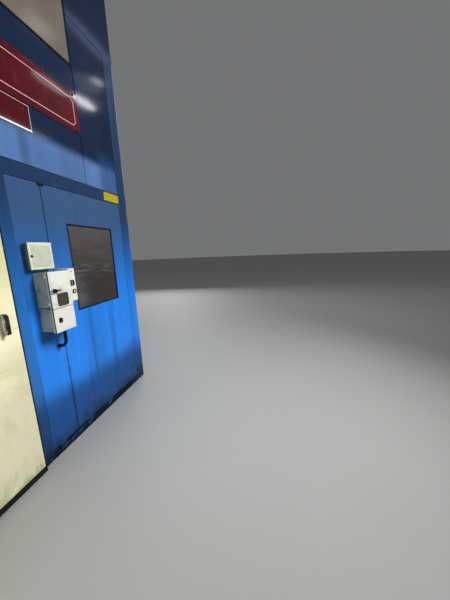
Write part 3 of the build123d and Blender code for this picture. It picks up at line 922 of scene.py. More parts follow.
@dataclass(frozen=True)
class CastFloor(Recipe):
    """Pale cast floor with a faint cloud in it."""

    colour: Colour = shade(158, 158, 156)
    paler: Colour = shade(168, 168, 166)
    roughness: float = 0.55
    cloud_roughness: float = 0.2
    cloud: Pattern = Pattern(0.5, detail=5)
    grain: Grain = Grain(Pattern(120.0, detail=3), 0.001, 0.15)

    def paint(self, sheet: PaintSheet) -> None:
        """Add the floor's nodes.

        Args:
            sheet: The node tree.
        """
        cloud = sheet.noise(self.cloud)
        sheet.texture(self.grain)
        roughness = sheet.sum(self.roughness, (cloud, self.cloud_roughness))
        sheet.close(sheet.blend(cloud, self.colour, self.paler), roughness, Specular_IOR_Level=0.25)


def blue_recipes() -> dict[Finish, Recipe]:
    """Set the blue enamels of the panels, frame and walls.

    Returns:
        Each finish with its recipe.
    """
    blue = shade(28, 118, 214)
    pale = shade(36, 132, 234)
    # The panels' tone higher up: painted shade, with some grey dust.
    shaded_blue = shade(44, 75, 113)
    grime = shade(20, 24, 30)
    box_low, box_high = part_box("terminal_box")
    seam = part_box("front_narrow_panel")[1].x
    # A painted shadow under the terminal box, in the dirt colour, and a darker patch left of the boxes.
    shadow_under_box = SoftSpot((0.5 * (box_low.x + box_high.x) - 0.02, box_high.y, box_low.z - 0.06), 0.17, 0.5)
    beside_box = SoftSpot((box_low.x - 0.06, box_high.y, box_high.z + 0.15), 0.26, 0.35)
    # The panels: painted shade towards the floor and with height.
    panel = Enamel(
        blue, pale, grime, shaded_blue, shade_span=(0.95, 1.95), specular=0.18, shadow=0.38, low_shade=1.0,
        grime_top=0.21, grime=0.7, seams=(seam,), dark_spots=(shadow_under_box, beside_box),
    )
    # The frame members: painted shade towards the floor and with height.
    members = Enamel(
        shade(36, 102, 176), shade(44, 112, 190), grime, shade(19, 45, 77), shade_span=(1.10, 2.1),
        specular=0.14, low_shade=1.0, runs=0.6, seams=(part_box("door_jamb")[1].x - 0.02,),
    )
    post_low, post_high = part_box("corner_posts")
    # The posts: painted shade towards the floor and with height, and a painted highlight on each corner edge
    # above the belt.
    posts = Enamel(
        blue, pale, grime, shade(22, 50, 84), shade_span=(0.98, 1.98), specular=0.16, shadow=0.38,
        low_shade=1.0, runs=0.4,
        edge_highlights=tuple(
            EdgeHighlight(x, y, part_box("belt_rails")[0].z)
            for x in (post_low.x, post_high.x) for y in (post_low.y, post_high.y)
        ),
    )
    band_low, band_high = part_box("belt_rails")[1].z - 0.1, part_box("lower_board")[1].z
    # The upper storey: a pale band under the boards that is painted reflection with grey dust, painted shade
    # above it, and two stripes of painted shade across the band.
    upper = Enamel(
        shade(70, 103, 153), shade(88, 120, 166), grime, shade(14, 31, 57), shade_span=(2.36, 2.46),
        wander=0.1, sheen=0.09, specular=0.06,
        stripes=(
            Stripe(Axis.X, 0.20, Axis.Z, (band_low, band_high), 0.02, 0.06, 0.35),
            Stripe(
                Axis.X, 1.25, Axis.Z, (band_low - 0.2, band_high), 0.02, 0.31, 0.6, 0.7, shade(30, 62, 112)
            ),
        ),
    )
    # The plain walls: painted shade towards the floor and with height.
    wall = Enamel(
        blue, pale, grime, shade(26, 64, 112), shade_span=(1.10, 2.6), specular=0.18, coat=0.22,
        sheen=0.3, low_shade=0.8,
    )
    base = Enamel(
        shade(18, 62, 96), shade(28, 92, 142), shade(5, 8, 12), specular=0.1, coat=0.15, bands=0.0,
        scrapes=0.93, grime_top=0.08, chips=0.8,
    )
    return {
        Finish.BLUE: panel,
        Finish.FRAME: members,
        Finish.POST: posts,
        Finish.UPPER: upper,
        Finish.WALL: wall,
        Finish.BASE: base,
    }


def cream_recipes() -> dict[Finish, Recipe]:
    """Set the cream enamels of the door, its hinges and the upper panel.

    Returns:
        Each finish with its recipe.
    """
    low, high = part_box("door_handle")
    handle = tuple(0.5 * (low + high))
    leaf_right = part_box("front_door")[1].x
    # The door's cream: painted shade at its foot and towards its top.
    door = Enamel(
        shade(248, 242, 204), shade(238, 232, 190), shade(136, 130, 84), shade(202, 200, 150),
        shade_span=(1.05, 1.6), coat=0.2, bands=0.0, low_shade=0.44, low_span=(1.0, 0.35), runs=0.16,
        stains=0.42, scratch_tone=shade(176, 168, 130), grime_top=0.10, grime=0.6, chips=0.8,
        dark_spots=(SoftSpot(handle, 0.16, 0.12), SoftSpot((leaf_right - 0.03, low.y, 0.78), 0.35, 0.3)),
        stripes=(
            Stripe(Axis.Z, 0.87, Axis.X, (-1.2, leaf_right - 0.02)),
            Stripe(
                Axis.Z, high.z - 0.11, Axis.X, (high.x + 0.05, leaf_right - 0.005), 0.004, 0.003, 0.8
            ),
        ),
    )
    # The upper cream panel: the door's cream painted much darker, as painted shade.
    upper = Enamel(
        shade(108, 98, 86), shade(92, 84, 74), shade(58, 52, 44), bands=0.1, runs=0.4,
        scratch_tone=shade(90, 84, 72),
    )
    hinge = Enamel(shade(206, 200, 160), shade(186, 178, 140), shade(70, 62, 48), chips=1.0, waviness=0.05)
    return {Finish.CREAM: door, Finish.CREAM_UPPER: upper, Finish.HINGE: hinge}


def fitting_recipes() -> dict[Finish, Recipe]:
    """Set the finishes of the boxes, boards, seals, plastics and pane.

    Returns:
        Each finish with its recipe.
    """
    pane_low, pane_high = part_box("window_pane")
    haze = SoftSpot((pane_low.x + 0.01, pane_low.y, pane_low.z + 0.13), 0.19, 0.7)
    grip_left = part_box("door_handle")[0].x
    dark, pale = shade(34, 40, 38), shade(206, 212, 204)
    lid_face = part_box("junction_lid")[0].y
    case_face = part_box("terminal_cover")[0].y
    # The second line of each pair is painted shading along the sheet's fold; the first is the dark seal line.
    fold = shade(150, 156, 142)
    lid_lines = (SideLine(lid_face + 0.006, 0.003, dark), SideLine(lid_face + 0.0125, 0.002, fold))
    case_lines = (SideLine(case_face + 0.007, 0.004, dark), SideLine(case_face + 0.016, 0.004, pale))
    return {
        Finish.BOX: PowderCoat(shade(184, 190, 168), lines=lid_lines),
        # A paler copy of the lid's coat for its rim: painted highlight.
        Finish.BOX_RIM: PowderCoat(shade(214, 219, 202), dust=0.3),
        # A much darker copy of the lid's coat for the junction box's body: painted shade.
        Finish.BOX_SHELL: PowderCoat(shade(96, 104, 94), shade(40, 46, 42), 0.8),
        Finish.STATION: PowderCoat(shade(214, 216, 206)),
        Finish.CASE: PowderCoat(shade(214, 216, 206), lines=case_lines),
        # A darker copy of the station's coat for the box bodies: painted shade, with dirt streaks.
        Finish.SHELL: PowderCoat(shade(184, 190, 172), shade(74, 82, 74), 1.0),
        Finish.KEY: Plastic(shade(112, 116, 112), shade(70, 74, 72)),
        Finish.LABEL: SignEnamel(shade(226, 227, 220), shade(216, 216, 208), 0.4),
        Finish.CREAM_LABEL: SignEnamel(shade(230, 228, 204), shade(222, 216, 178), 0.3),
        Finish.BOARD: SignEnamel(shade(68, 4, 15), shade(84, 9, 23), specular=0.07),
        Finish.LINE: SignEnamel(shade(206, 168, 164), shade(190, 150, 146), 0.3),
        Finish.EDGE: SignEnamel(shade(236, 228, 224), shade(220, 208, 204), 0.2),
        Finish.PLATE: SignEnamel(shade(164, 152, 30), shade(148, 134, 36), 0.4, shade(90, 84, 50)),
        Finish.PLATE_LINE: SignEnamel(shade(22, 22, 20), shade(40, 40, 34), 0.3, shade(80, 78, 60)),
        Finish.RUBBER: Rubber(),
        Finish.SEAM: Rubber(shade(14, 24, 44), shade(24, 44, 78)),
        Finish.PLASTIC: Plastic(shade(14, 14, 15), shade(34, 34, 34)),
        Finish.COVER: Plastic(shade(56, 54, 50), shade(76, 73, 66), 0.32),
        # The grip's pale mottled left side is a painted highlight.
        Finish.HANDLE: Plastic(shade(13, 12, 12), shade(206, 200, 198), 0.36, grip_left),
        Finish.PANE: TintedPane(haze),
    }


def machine_recipes() -> dict[Finish, Recipe]:
    """Set the finishes of the press, screws and studio floor.

    Returns:
        Each finish with its recipe.
    """
    return {
        Finish.BRIGHT: GroundSteel(line_stretch=(1.0, 1.0, 0.4)),
        Finish.COLUMN: GroundSteel(roughness=0.16, line_stretch=(0.4, 0.4, 1.0)),
        Finish.ZINC: GroundSteel(shade(150, 150, 146), shade(86, 80, 66), 0.34),
        Finish.PRESS: Enamel(
            shade(86, 110, 108), shade(104, 124, 118), shade(34, 30, 26), bands=0.2, grime=0.7, waviness=0.1
        ),
        Finish.DIE: ScaledSteel(),
        Finish.FLOOR: CastFloor(),
    }


class Finishes:
    """Every finish of the machine, mixed once."""

    def __init__(self) -> None:
        """Mix all materials."""
        self.materials: dict[Finish, bpy.types.Material] = {}
        recipes = blue_recipes() | cream_recipes() | fitting_recipes() | machine_recipes()
        for finish, recipe in recipes.items():
            sheet = PaintSheet(finish.value)
            recipe.paint(sheet)
            self.materials[finish] = sheet.material

    def on_nodes(self, finish: Finish, *nodes: str) -> None:
        """Give CAD nodes their finish.

        Args:
            finish: The finish.
            *nodes: The nodes' names.
        """
        for node in nodes:
            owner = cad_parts[node]
            if not owner.data.materials:
                owner.data.materials.append(self.materials[finish])
            for slot in owner.material_slots:
                slot.material = self.materials[finish]
            log.info("node %s gets %s", node, finish.value)

    def on_piece(self, finish: Finish, piece: Piece) -> None:
        """Give a new piece its only finish."""
        piece.data.materials.clear()
        piece.data.materials.append(self.materials[finish])


@dataclass(frozen=True)
class Fasteners:
    """Proportions of screw and bolt heads, most as shares of the head's radius."""

    dome_height: float = 0.60
    dome_edge: float = 0.42
    dome_sides: int = 18
    dome_top: float = 0.9
    socket_rim: float = 0.12
    socket_depth: float = 0.35
    hex_height: float = 0.70
    hex_edge: float = 0.09
    hex_sides: int = 6
    washer_reach: float = 1.25
    washer_height: float = 0.20
    washer_sides: int = 20


def pick(*pieces: Piece) -> None:
    """Select only these pieces, the first one active.

    Args:
        *pieces: The pieces, or none to deselect everything.
    """
    bpy.ops.object.select_all(action="DESELECT")
    for piece in pieces:
        piece.select_set(True)
    if pieces:
        bpy.context.view_layer.objects.active = pieces[0]


def turn(angle: float, axis: Axis) -> Matrix:
    """Return a turn about an axis through the origin."""
    return Matrix.Rotation(angle, 4, axis.name)


def looks(facing: Facing, least: float = LOOKS) -> Test:
    """Return a test that picks faces that look a way, to the smallest cosine that passes."""
    outward = Vector(facing.value)
    return lambda middle, normal: normal.dot(outward) > least


def lies_along(axis: Axis) -> Test:
    """Return a test that picks edges along an axis, or faces that look either way along it."""
    return lambda middle, direction: abs(direction[axis.value]) > LOOKS


IN_FRONT = looks(Facing.FRONT)
RUNS_DEEP = lies_along(Axis.Y)


@dataclass
class SubAssembly:
    """Part of the machine that is dressed as one, with the tools that make its pieces."""

    finishes: Finishes
    heads: Fasteners = Fasteners()

    def dress(self) -> None:
        """Paint its nodes and make its pieces."""
        raise NotImplementedError

    def settle(self, name: str) -> Piece:
        """Name the new primitive and put its place, turn and scale into its mesh.

        Args:
            name: The piece's name.

        Returns:
            The piece.
        """
        piece = bpy.context.object
        piece.name = name
        pick(piece)
        bpy.ops.object.transform_apply(location=True, rotation=True, scale=True)
        return piece

    def block(self, name: str, low: Iterable[float], high: Iterable[float]) -> Piece:
        """Start a piece as a box between two corners.

        Args:
            name: The piece's name.
            low: The lowest corner.
            high: The highest corner.

        Returns:
            The new piece.
        """
        low, high = Vector(low), Vector(high)
        pick()
        bpy.ops.mesh.primitive_cube_add(size=1.0, location=(low + high) / 2, scale=high - low)
        return self.settle(name)

    def drum(
        self,
        name: str,
        base: Iterable[float],
        facing: Facing,
        radius: float,
        depth: float,
        sides: int = ROUND_SIDES,
    ) -> Piece:
        """Start a piece as a drum that stands on a base point.

        Args:
            name: The piece's name.
            base: The middle of the drum's seat.
            facing: The way that its outer end looks.
            radius: Its radius.
            depth: Its height over the seat.
            sides: Its number of sides.

        Returns:
            The new piece.
        """
        outward = Vector(facing.value)
        pick()
        bpy.ops.mesh.primitive_cylinder_add(
            vertices=sides,
            radius=radius,
            depth=depth,
            location=Vector(base) + outward * depth / 2,
            rotation=outward.to_track_quat("Z", "Y").to_euler(),
        )
        return self.settle(name)

    @contextmanager
    def shaping(self, piece: Piece, element: Element, test: Test) -> Iterator[None]:
        """Open a piece for mesh operators with some of it selected.

        Args:
            piece: The piece to shape.
            element: What the test is asked about.
            test: Says for a middle, and a normal or direction, whether it is selected.

        Yields:
            Nothing; the piece is in edit mode until the block ends.
        """
        pick(piece)
        bpy.ops.object.mode_set(mode="EDIT")
        bpy.ops.mesh.select_mode(type=element.value)
        bpy.ops.mesh.select_all(action="DESELECT")
        mesh = bmesh.from_edit_mesh(piece.data)
        if element is Element.FACE:
            for face in mesh.faces:
                face.select_set(test(face.calc_center_median(), face.normal))
        else:
            for edge in mesh.edges:
                first, second = (vert.co for vert in edge.verts)
                edge.select_set(test((first + second) / 2, (second - first).normalized()))
        mesh.select_flush_mode()
        bmesh.update_edit_mesh(piece.data)
        yield
        bpy.ops.object.mode_set(mode="OBJECT")

    def ease(
        self, piece: Piece, width: float, segments: int, test: Test, element: Element = Element.FACE
    ) -> None:
        """Round the edges that a test picks, or the edges of the faces that it picks."""
        with self.shaping(piece, element, test):
            bpy.ops.mesh.bevel(offset=width, segments=segments, affect="EDGES")

    def round_corners(self, piece: Piece, width: float, segments: int) -> None:
        """Round the edges that run from front to back."""
        self.ease(piece, width, segments, RUNS_DEEP, Element.EDGE)

    def soften(self, piece: Piece, width: float, segments: int = 2) -> None:
        """Round every sharp edge of a piece.

        Args:
            piece: The piece to shape.
            width: The rounding's width.
            segments: Its number of steps.
        """
        pick(piece)
        bevel = piece.modifiers.new("soften", "BEVEL")
        bevel.width = width
        bevel.segments = segments
        bevel.limit_method = "ANGLE"
        bevel.angle_limit = SHARP_ANGLE
        bpy.ops.object.modifier_apply(modifier=bevel.name)

    def inset(self, piece: Piece, width: float, depth: float, test: Test) -> None:
        """Inset the picked faces and push them in or out.

        Args:
            piece: The piece to shape.
            width: The border that the inset leaves.
            depth: How far the inner face moves, outwards above 0.
            test: Picks the faces.
        """
        with self.shaping(piece, Element.FACE, test):
            bpy.ops.mesh.inset(thickness=width, depth=0.0)
            bpy.ops.mesh.extrude_region_shrink_fatten(TRANSFORM_OT_shrink_fatten={"value": depth})

    def hollow(self, piece: Piece, width: float, axis: Axis) -> Piece:
        """Open a block or drum right through, so that it becomes a ring.

        Args:
            piece: The piece to shape.
            width: The ring's width.
            axis: The way that the hole goes.

        Returns:
            The piece.
        """
        with self.shaping(piece, Element.FACE, lies_along(axis)):
            bpy.ops.mesh.inset(thickness=width, depth=0.0)
            bpy.ops.mesh.bridge_edge_loops()
        return piece

    def join(self, name: str, pieces: Iterable[Piece]) -> Piece:
        """Join pieces into one.

        Args:
            name: The joined piece's name.
            pieces: The pieces to join.

        Returns:
            The joined piece.
        """
        pieces = list(pieces)
        pick(*pieces)
        if len(pieces) > 1:
            bpy.ops.object.join()
        pieces[0].name = name
        return pieces[0]

    def repeat(self, name: str, master: Piece, places: Iterable[Matrix]) -> Piece:
        """Copy a piece to several places, each with its own mesh, and join the copies.

        Args:
            name: The joined piece's name.
            master: The piece modelled once, which is removed.
            places: Each copy's move from the master's place.

        Returns:
            The joined piece.
        """
        copies = []
        for place in places:
            double = master.copy()
            double.data = master.data.copy()
            bpy.context.collection.objects.link(double)
            double.data.transform(place)
            copies.append(double)
        bpy.data.objects.remove(master)
        return self.join(name, copies)

    def hang(
        self, piece: Piece, finish: Finish, slot: Slot, body: Body = Body.ENCLOSURE, *stands_for: str
    ) -> None:
        """Smooth, paint and hang a finished piece.

        Args:
            piece: The finished piece.
            finish: Its finish.
            slot: The record's material slot; not used.
            body: The body that it rides on.
            *stands_for: The CAD nodes that it replaces.
        """
        pick(piece)
        bpy.ops.object.shade_smooth_by_angle(angle=SMOOTH_ANGLE)
        weights = piece.modifiers.new("weights", "WEIGHTED_NORMAL")
        weights.keep_sharp = True
        bpy.ops.object.modifier_apply(modifier=weights.name)
        self.finishes.on_piece(finish, piece)
        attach(piece, body.value)
        if stands_for:
            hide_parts(*stands_for)
        log.info("piece %s rides on %s", piece.name, body.value)

    def screw(self, base: Iterable[float], facing: Facing, radius: float) -> Piece:
        """Model a domed screw head with a socket.

        Args:
            base: The middle of its seat.
            facing: The way that it looks.
            radius: Its head's radius.

        Returns:
            The screw head.
        """
        outward, seat = Vector(facing.value), Vector(base)
        height = self.heads.dome_height * radius
        head = self.drum("screw", seat, facing, radius, height, self.heads.dome_sides)
        self.ease(head, self.heads.dome_edge * radius, 3, looks(facing))

        def is_top(middle: Vector, normal: Vector) -> bool:
            """Whether a face is the flat top of the dome."""
            rise = (middle - seat).dot(outward)
            return normal.dot(outward) > SQUARELY and rise > self.heads.dome_top * height

        self.inset(head, self.heads.socket_rim * radius, -self.heads.socket_depth * radius, is_top)
        return head

    def bolt(self, base: Iterable[float], facing: Facing, radius: float) -> Piece:
        """Model a hexagon bolt head on its washer.

        Args:
            base: The middle of its seat.
            facing: The way that it looks.
            radius: The hexagon's corner radius.

        Returns:
            The bolt head.
        """
        heads, seat = self.heads, Vector(base)
        lift = heads.washer_height * radius
        washer = self.drum("washer", seat, facing, heads.washer_reach * radius, lift, heads.washer_sides)
        seat = seat + Vector(facing.value) * lift
        head = self.drum("head", seat, facing, radius, heads.hex_height * radius, heads.hex_sides)
        self.ease(head, heads.hex_edge * radius, 2, looks(facing))
        return self.join("bolt", (washer, head))

    def spread(self, name: str, master: Piece, places: list[Iterable[float]]) -> Piece:
        """Copy a piece that was made at the first of some places to all of them, and join them."""
        start = Vector(places[0])
        return self.repeat(name, master, [Matrix.Translation(Vector(place) - start) for place in places])


@dataclass
class SoundEnclosure(SubAssembly):
    """Posts, rails, sound panels and roof, with the seals in their seams."""

    seal_recess: float = 0.007
    seal_depth: float = 0.014
    filler_recess: float = 0.0015
    seam: float = 0.005
    clip_width: float = 0.045
    clip_height: float = 0.017
    clip_depth: float = 0.012
    clip_edge: float = 0.004
    clip_left_share: float = 0.4
    clip_screw: float = 0.004
    strip_round: float = 0.3

    def dress(self) -> None:
        """Paint the nodes, then make the seals and the clip under the belt."""
        paint = self.finishes.on_nodes
        paint(Finish.BLUE, "front_narrow_panel", "front_window_panel")
        paint(Finish.FRAME, "belt_rails", "door_jamb", "seam_posts")
        paint(Finish.POST, "corner_posts")
        paint(Finish.BASE, "base_rails")
        paint(Finish.UPPER, "front_side_panels", "front_centre_panel")
        paint(Finish.UPPER, "front_crown_panels", "crown_end_rails")
        paint(Finish.WALL, "left_wall_panels", "right_wall_panels", "back_wall_panels")
        paint(Finish.WALL, "roof_panels", "crown_side_rails")
        paint(Finish.CREAM_UPPER, "front_cream_panel")
        paint(Finish.RUBBER, "cream_panel_gasket")
        self.make_front_seals()
        self.make_filler()
        self.make_wall_seals()
        self.make_clip()

    def strip(self, x0: float, x1: float, z0: float, z1: float) -> Piece:
        """Model one seal strip in the front wall's plane.

        Args:
            x0: Its left edge.
            x1: Its right edge.
            z0: Its bottom.
            z1: Its top.

        Returns:
            The strip, with a rounded face.
        """
        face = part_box("front_narrow_panel")[0].y + self.seal_recess
        strip = self.block("seal", (x0, face, z0), (x1, face + self.seal_depth, z1))
        self.ease(strip, self.strip_round * min(x1 - x0, z1 - z0), 2, IN_FRONT)
        return strip

    def upright(self, x: float, width: float, z0: float, z1: float) -> Piece:
        """Model an upright seal strip about a line."""
        return self.strip(x - width / 2, x + width / 2, z0, z1)

    def level(self, z: float, x0: float, x1: float) -> Piece:
        """Model a level seal strip about a line."""
        return self.strip(x0, x1, z - self.seam / 2, z + self.seam / 2)

    def make_front_seals(self) -> None:
        """Model the seals of the front's seams from the panels' own boxes."""
        narrow_low, narrow_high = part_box("front_narrow_panel")
        wide_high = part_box("front_window_panel")[1]
        centre_low, centre_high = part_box("front_centre_panel")
        side_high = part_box("front_side_panels")[1]
        cream_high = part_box("cream_panel_gasket")[1]
        belt_low, belt_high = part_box("belt_rails")
        half = self.seam / 2
        reach = side_high.x
        strips = [
            self.upright(narrow_high.x + half, self.seam, narrow_low.z, narrow_high.z),
            self.upright(wide_high.x + half / 2, half, narrow_low.z, narrow_high.z),
            self.level(belt_high.z + half / 2, -reach, reach),
            self.level(belt_low.z - half / 2, narrow_low.x, reach),
            self.level(narrow_low.z - half / 2, narrow_low.x, reach),
            self.level(centre_high.z + half, centre_low.x, centre_high.x),
        ]
        for side in (-1, 1):
            strips.append(self.upright(side * (centre_high.x + half), self.seam, centre_low.z, cream_high.z))
            strips.append(self.upright(side * (reach + half / 2), half, centre_low.z, side_high.z))
        piece = self.join("front_seals", strips)
        self.hang(piece, Finish.SEAM, Slot.SEAL)

    def make_filler(self) -> None:
        """Model the painted filler between the door's jamb and the narrow panel."""
        low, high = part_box("front_narrow_panel")
        filler = self.upright(low.x - self.seam / 2, self.seam, low.z, high.z)
        filler.data.transform(Matrix.Translation((0.0, self.filler_recess - self.seal_recess, 0.0)))
        filler.name = "jamb_filler"
        self.hang(filler, Finish.FRAME, Slot.BLUE)

    def make_wall_seals(self) -> None:
        """Model one plain wall's seals and copy them to the left, right and back."""
        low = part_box("left_wall_panels")[0]
        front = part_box("front_narrow_panel")[0].y
        belt_low, belt_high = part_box("belt_rails")
        roof_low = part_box("roof_panels")[0].z
        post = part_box("front_side_panels")[1].x
        half = self.seam / 2
        strips = [self.upright(0.0, self.seam, low.z, roof_low)]
        for side in (-1, 1):
            strips.append(self.upright(side * (post + half / 2), half, low.z, belt_high.z))
        for z in (belt_low.z - half / 2, belt_high.z + half / 2, low.z - half / 2):
            strips.append(self.level(z, -post, post))
        master = self.join("wall_seals", strips)
        turns = []
        for angle, out in ((-90, -low.x), (90, -low.x), (180, -front)):
            shift = Matrix.Translation((0.0, -(out + front), 0.0))
            turns.append(turn(math.radians(angle), Axis.Z) @ shift)
        piece = self.repeat("wall_seals", master, turns)
        self.hang(piece, Finish.RUBBER, Slot.SEAL)

    def make_clip(self) -> None:
        """Model the small black clip under the belt at the seam."""
        seam_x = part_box("front_narrow_panel")[1].x
        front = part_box("front_narrow_panel")[0].y
        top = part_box("belt_rails")[0].z
        left = seam_x - self.clip_left_share * self.clip_width
        face = front - self.clip_depth
        bottom = top - self.clip_height
        clip = self.block("belt_clip", (left, face, bottom), (left + self.clip_width, front, top))
        self.ease(clip, self.clip_edge, 3, IN_FRONT)
        middle = (left + self.clip_width / 2, face, (bottom + top) / 2)
        screw = self.screw(middle, Facing.FRONT, self.clip_screw)
        piece = self.join("belt_clip", (clip, screw))
        self.hang(piece, Finish.PLASTIC, Slot.PLASTIC)


@dataclass
class WindowUnit(SubAssembly):
    """Tinted pane in a black glazing rubber."""

    lip: float = 0.0045

    def dress(self) -> None:
        """Paint the pane and model the glazing rubber."""
        self.finishes.on_nodes(Finish.PANE, "window_pane")
        low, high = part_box("window_gasket")
        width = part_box("window_pane")[0].x - low.x
        ring = self.hollow(self.block("glazing_rubber", low, high), width, Axis.Y)
        self.ease(ring, self.lip, 3, lambda middle, way: abs(middle.y - low.y) < CLOSE, Element.EDGE)
        self.hang(ring, Finish.RUBBER, Slot.SEAL, Body.ENCLOSURE, "window_gasket")


@dataclass
class FrontDoor(SubAssembly):
    """Cream door with its seal, bridge handle and lift-off hinges."""

    seal_width: float = 0.014
    seal_inset: float = 0.010
    seal_rise: float = 0.060
    standoff: float = 0.006
    seal_gap: float = 0.0005
    seal_edge: float = 0.0018
    grip_depth: float = 0.024
    grip_cuts: int = 4
    grip_corners: Pair = (0.010, 0.022)
    grip_steps: int = 6
    foot_base: float = 0.018
    grip_edge: float = 0.005
    lip_width: float = 0.010
    lip_depth: float = 0.010
    lip_set: float = 0.002
    lip_edge: float = 0.003
    sweep_depth: float = 0.012
    sweep_edge: float = 0.0036
    sweep_clearance: float = 0.010
    barrel_radius: float = 0.015
    barrel_length: float = 0.062
    barrel_gap: float = 0.001
    barrel_edge: float = 0.002
    leaf_height: float = 0.050
    leaf_depth: float = 0.006
    leaf_corner: float = 0.012
    corner_steps: int = 4
    leaf_edge: float = 0.0012
    cap_radius: float = 0.009
    cap_height: float = 0.004
    cap_edge: float = 0.0012
    strap_screw: float = 0.007
    strap_screw_at: tuple[float, ...] = (0.055, 0.095, 0.130)

    def dress(self) -> None:
        """Paint the leaf, then make the seals, handle and hinges."""
        self.finishes.on_nodes(Finish.CREAM, "front_door")
        self.make_seal()
        self.make_lips()
        self.make_handle()
        self.make_hinges()

    def make_seal(self) -> None:
        """Model the bulb seal that closes the gap behind the leaf's rim."""
        low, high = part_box("front_door")
        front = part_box("front_narrow_panel")[0].y
        back = front - self.seal_gap
        inset = self.seal_inset
        seal_low = (low.x + inset, front - self.standoff, low.z + self.seal_rise)
        ring = self.block("door_seal", seal_low, (high.x - inset, back, high.z - inset))
        self.hollow(ring, self.seal_width, Axis.Y)
        self.soften(ring, self.seal_edge)
        self.hang(ring, Finish.RUBBER, Slot.SEAL, Body.DOOR)

    def make_lips(self) -> None:
        """Model the black rubber lip along the leaf's free edge and the rubber strip under the leaf, dark
        pieces that also stand for the shadow in the gap beside the leaf and under it.
        """
        low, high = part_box("front_door")
        front = low.y + self.lip_set
        # The black lip also stands for the shadow in the gap beside the leaf.
        lip = self.block(
            "edge_lip", (high.x, front, low.z), (high.x + self.lip_width, front + self.lip_depth, high.z)
        )
        self.ease(lip, self.lip_edge, 3, looks(Facing.RIGHT))
        # The black strip under the leaf also stands for the shadow under the door.
        bottom = (low.x, front, self.sweep_clearance)
        sweep = self.block("sweep", bottom, (high.x + self.lip_width, front + self.sweep_depth, low.z))
        self.ease(sweep, self.sweep_edge, 3, looks(Facing.DOWN))
        piece = self.join("door_lips", (lip, sweep))
        self.hang(piece, Finish.RUBBER, Slot.SEAL, Body.DOOR)

    def make_handle(self) -> None:
        """Model the bridge handle: a grip with rounded ends on two feet that narrow towards the leaf."""
        low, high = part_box("door_handle")
        back = low.y + self.grip_depth
        foot = (high.z - low.z) / (self.grip_cuts + 1)
        grip = self.block("door_handle", low, (high.x, back, high.z))
        with self.shaping(grip, Element.EDGE, lies_along(Axis.Z)):
            bpy.ops.mesh.subdivide(number_cuts=self.grip_cuts)
        for end, sign in ((low.z, 1), (high.z, -1)):
            self.grow_foot(grip, end, sign * foot, back, high.y)
        for end, corner in zip((low.z, high.z), self.grip_corners):
            self.ease(
                grip, corner, self.grip_steps,
                lambda middle, way: abs(way.x) > LOOKS and middle.y < low.y + CLOSE
                and abs(middle.z - end) < CLOSE,
                Element.EDGE,
            )
        self.soften(grip, self.grip_edge, 3)
        self.hang(grip, Finish.HANDLE, Slot.PLASTIC, Body.DOOR, "door_handle")

    def grow_foot(self, grip: Piece, end: float, foot: float, back: float, seat: float) -> None:
        """Extrude one end of the grip back to the leaf and narrow it there.

        Args:
            grip: The grip.
            end: The height of the grip's end.
            foot: The foot's length, with the sign that leads inwards.
            back: The Y of the grip's back.
            seat: The Y of the leaf's face.
        """
        inner = end + foot
        with self.shaping(
            grip, Element.FACE,
            lambda middle, normal: normal.y > LOOKS and min(end, inner) < middle.z < max(end, inner),
        ):
            bpy.ops.mesh.extrude_region_move(TRANSFORM_OT_translate={"value": (0.0, seat - back, 0.0)})
            share = self.foot_base / abs(foot)
            bpy.ops.transform.resize(value=(1.0, 1.0, share), center_override=(0.0, seat, end))

    def make_hinges(self) -> None:
        """Model one lift-off hinge and copy it to the three heights."""
        pins_low, pins_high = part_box("door_hinge_pins")
        straps_low, straps_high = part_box("door_hinge_straps")
        x = straps_low.x + self.barrel_radius
        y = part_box("front_door")[0].y - self.leaf_depth / 2
        bottom = pins_low.z
        pitch = (pins_high.z - pins_low.z - 2 * self.barrel_length - self.barrel_gap) / 2
        lifts = [Matrix.Translation((0.0, 0.0, index * pitch)) for index in range(3)]
        fixed = self.repeat("hinge_pins", self.pin_half(x, y, bottom), lifts)
        self.hang(fixed, Finish.HINGE, Slot.HINGE, Body.ENCLOSURE, "door_hinge_pins")
        base = bottom + self.barrel_length + self.barrel_gap
        moving = self.repeat("hinge_straps", self.strap_half(x, y, base, straps_high.x), lifts)
        self.hang(moving, Finish.HINGE, Slot.HINGE, Body.DOOR, "door_hinge_straps")

    def barrel(self, x: float, y: float, z: float) -> Piece:
        """Model a hinge barrel with eased ends.

        Args:
            x: Its axis.
            y: Its axis.
            z: Its bottom.

        Returns:
            The barrel.
        """
        barrel = self.drum("barrel", (x, y, z), Facing.UP, self.barrel_radius, self.barrel_length)
        self.soften(barrel, self.barrel_edge)
        return barrel

    def pin_half(self, x: float, y: float, z: float) -> Piece:
        """Model a hinge's lower barrel with its bracket to the post and its bottom cap.

        Args:
            x: The hinge's axis.
            y: The hinge's axis.
            z: The barrel's bottom.

        Returns:
            The hinge's fixed half.
        """
        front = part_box("front_narrow_panel")[0].y
        lift = (self.barrel_length - self.leaf_height) / 2
        low = (x - self.leaf_depth, y, z + lift)
        bracket = self.block("bracket", low, (x + self.leaf_depth, front, z + lift + self.leaf_height))
        self.soften(bracket, self.leaf_edge)
        return self.join("pin_half", (self.barrel(x, y, z), bracket))

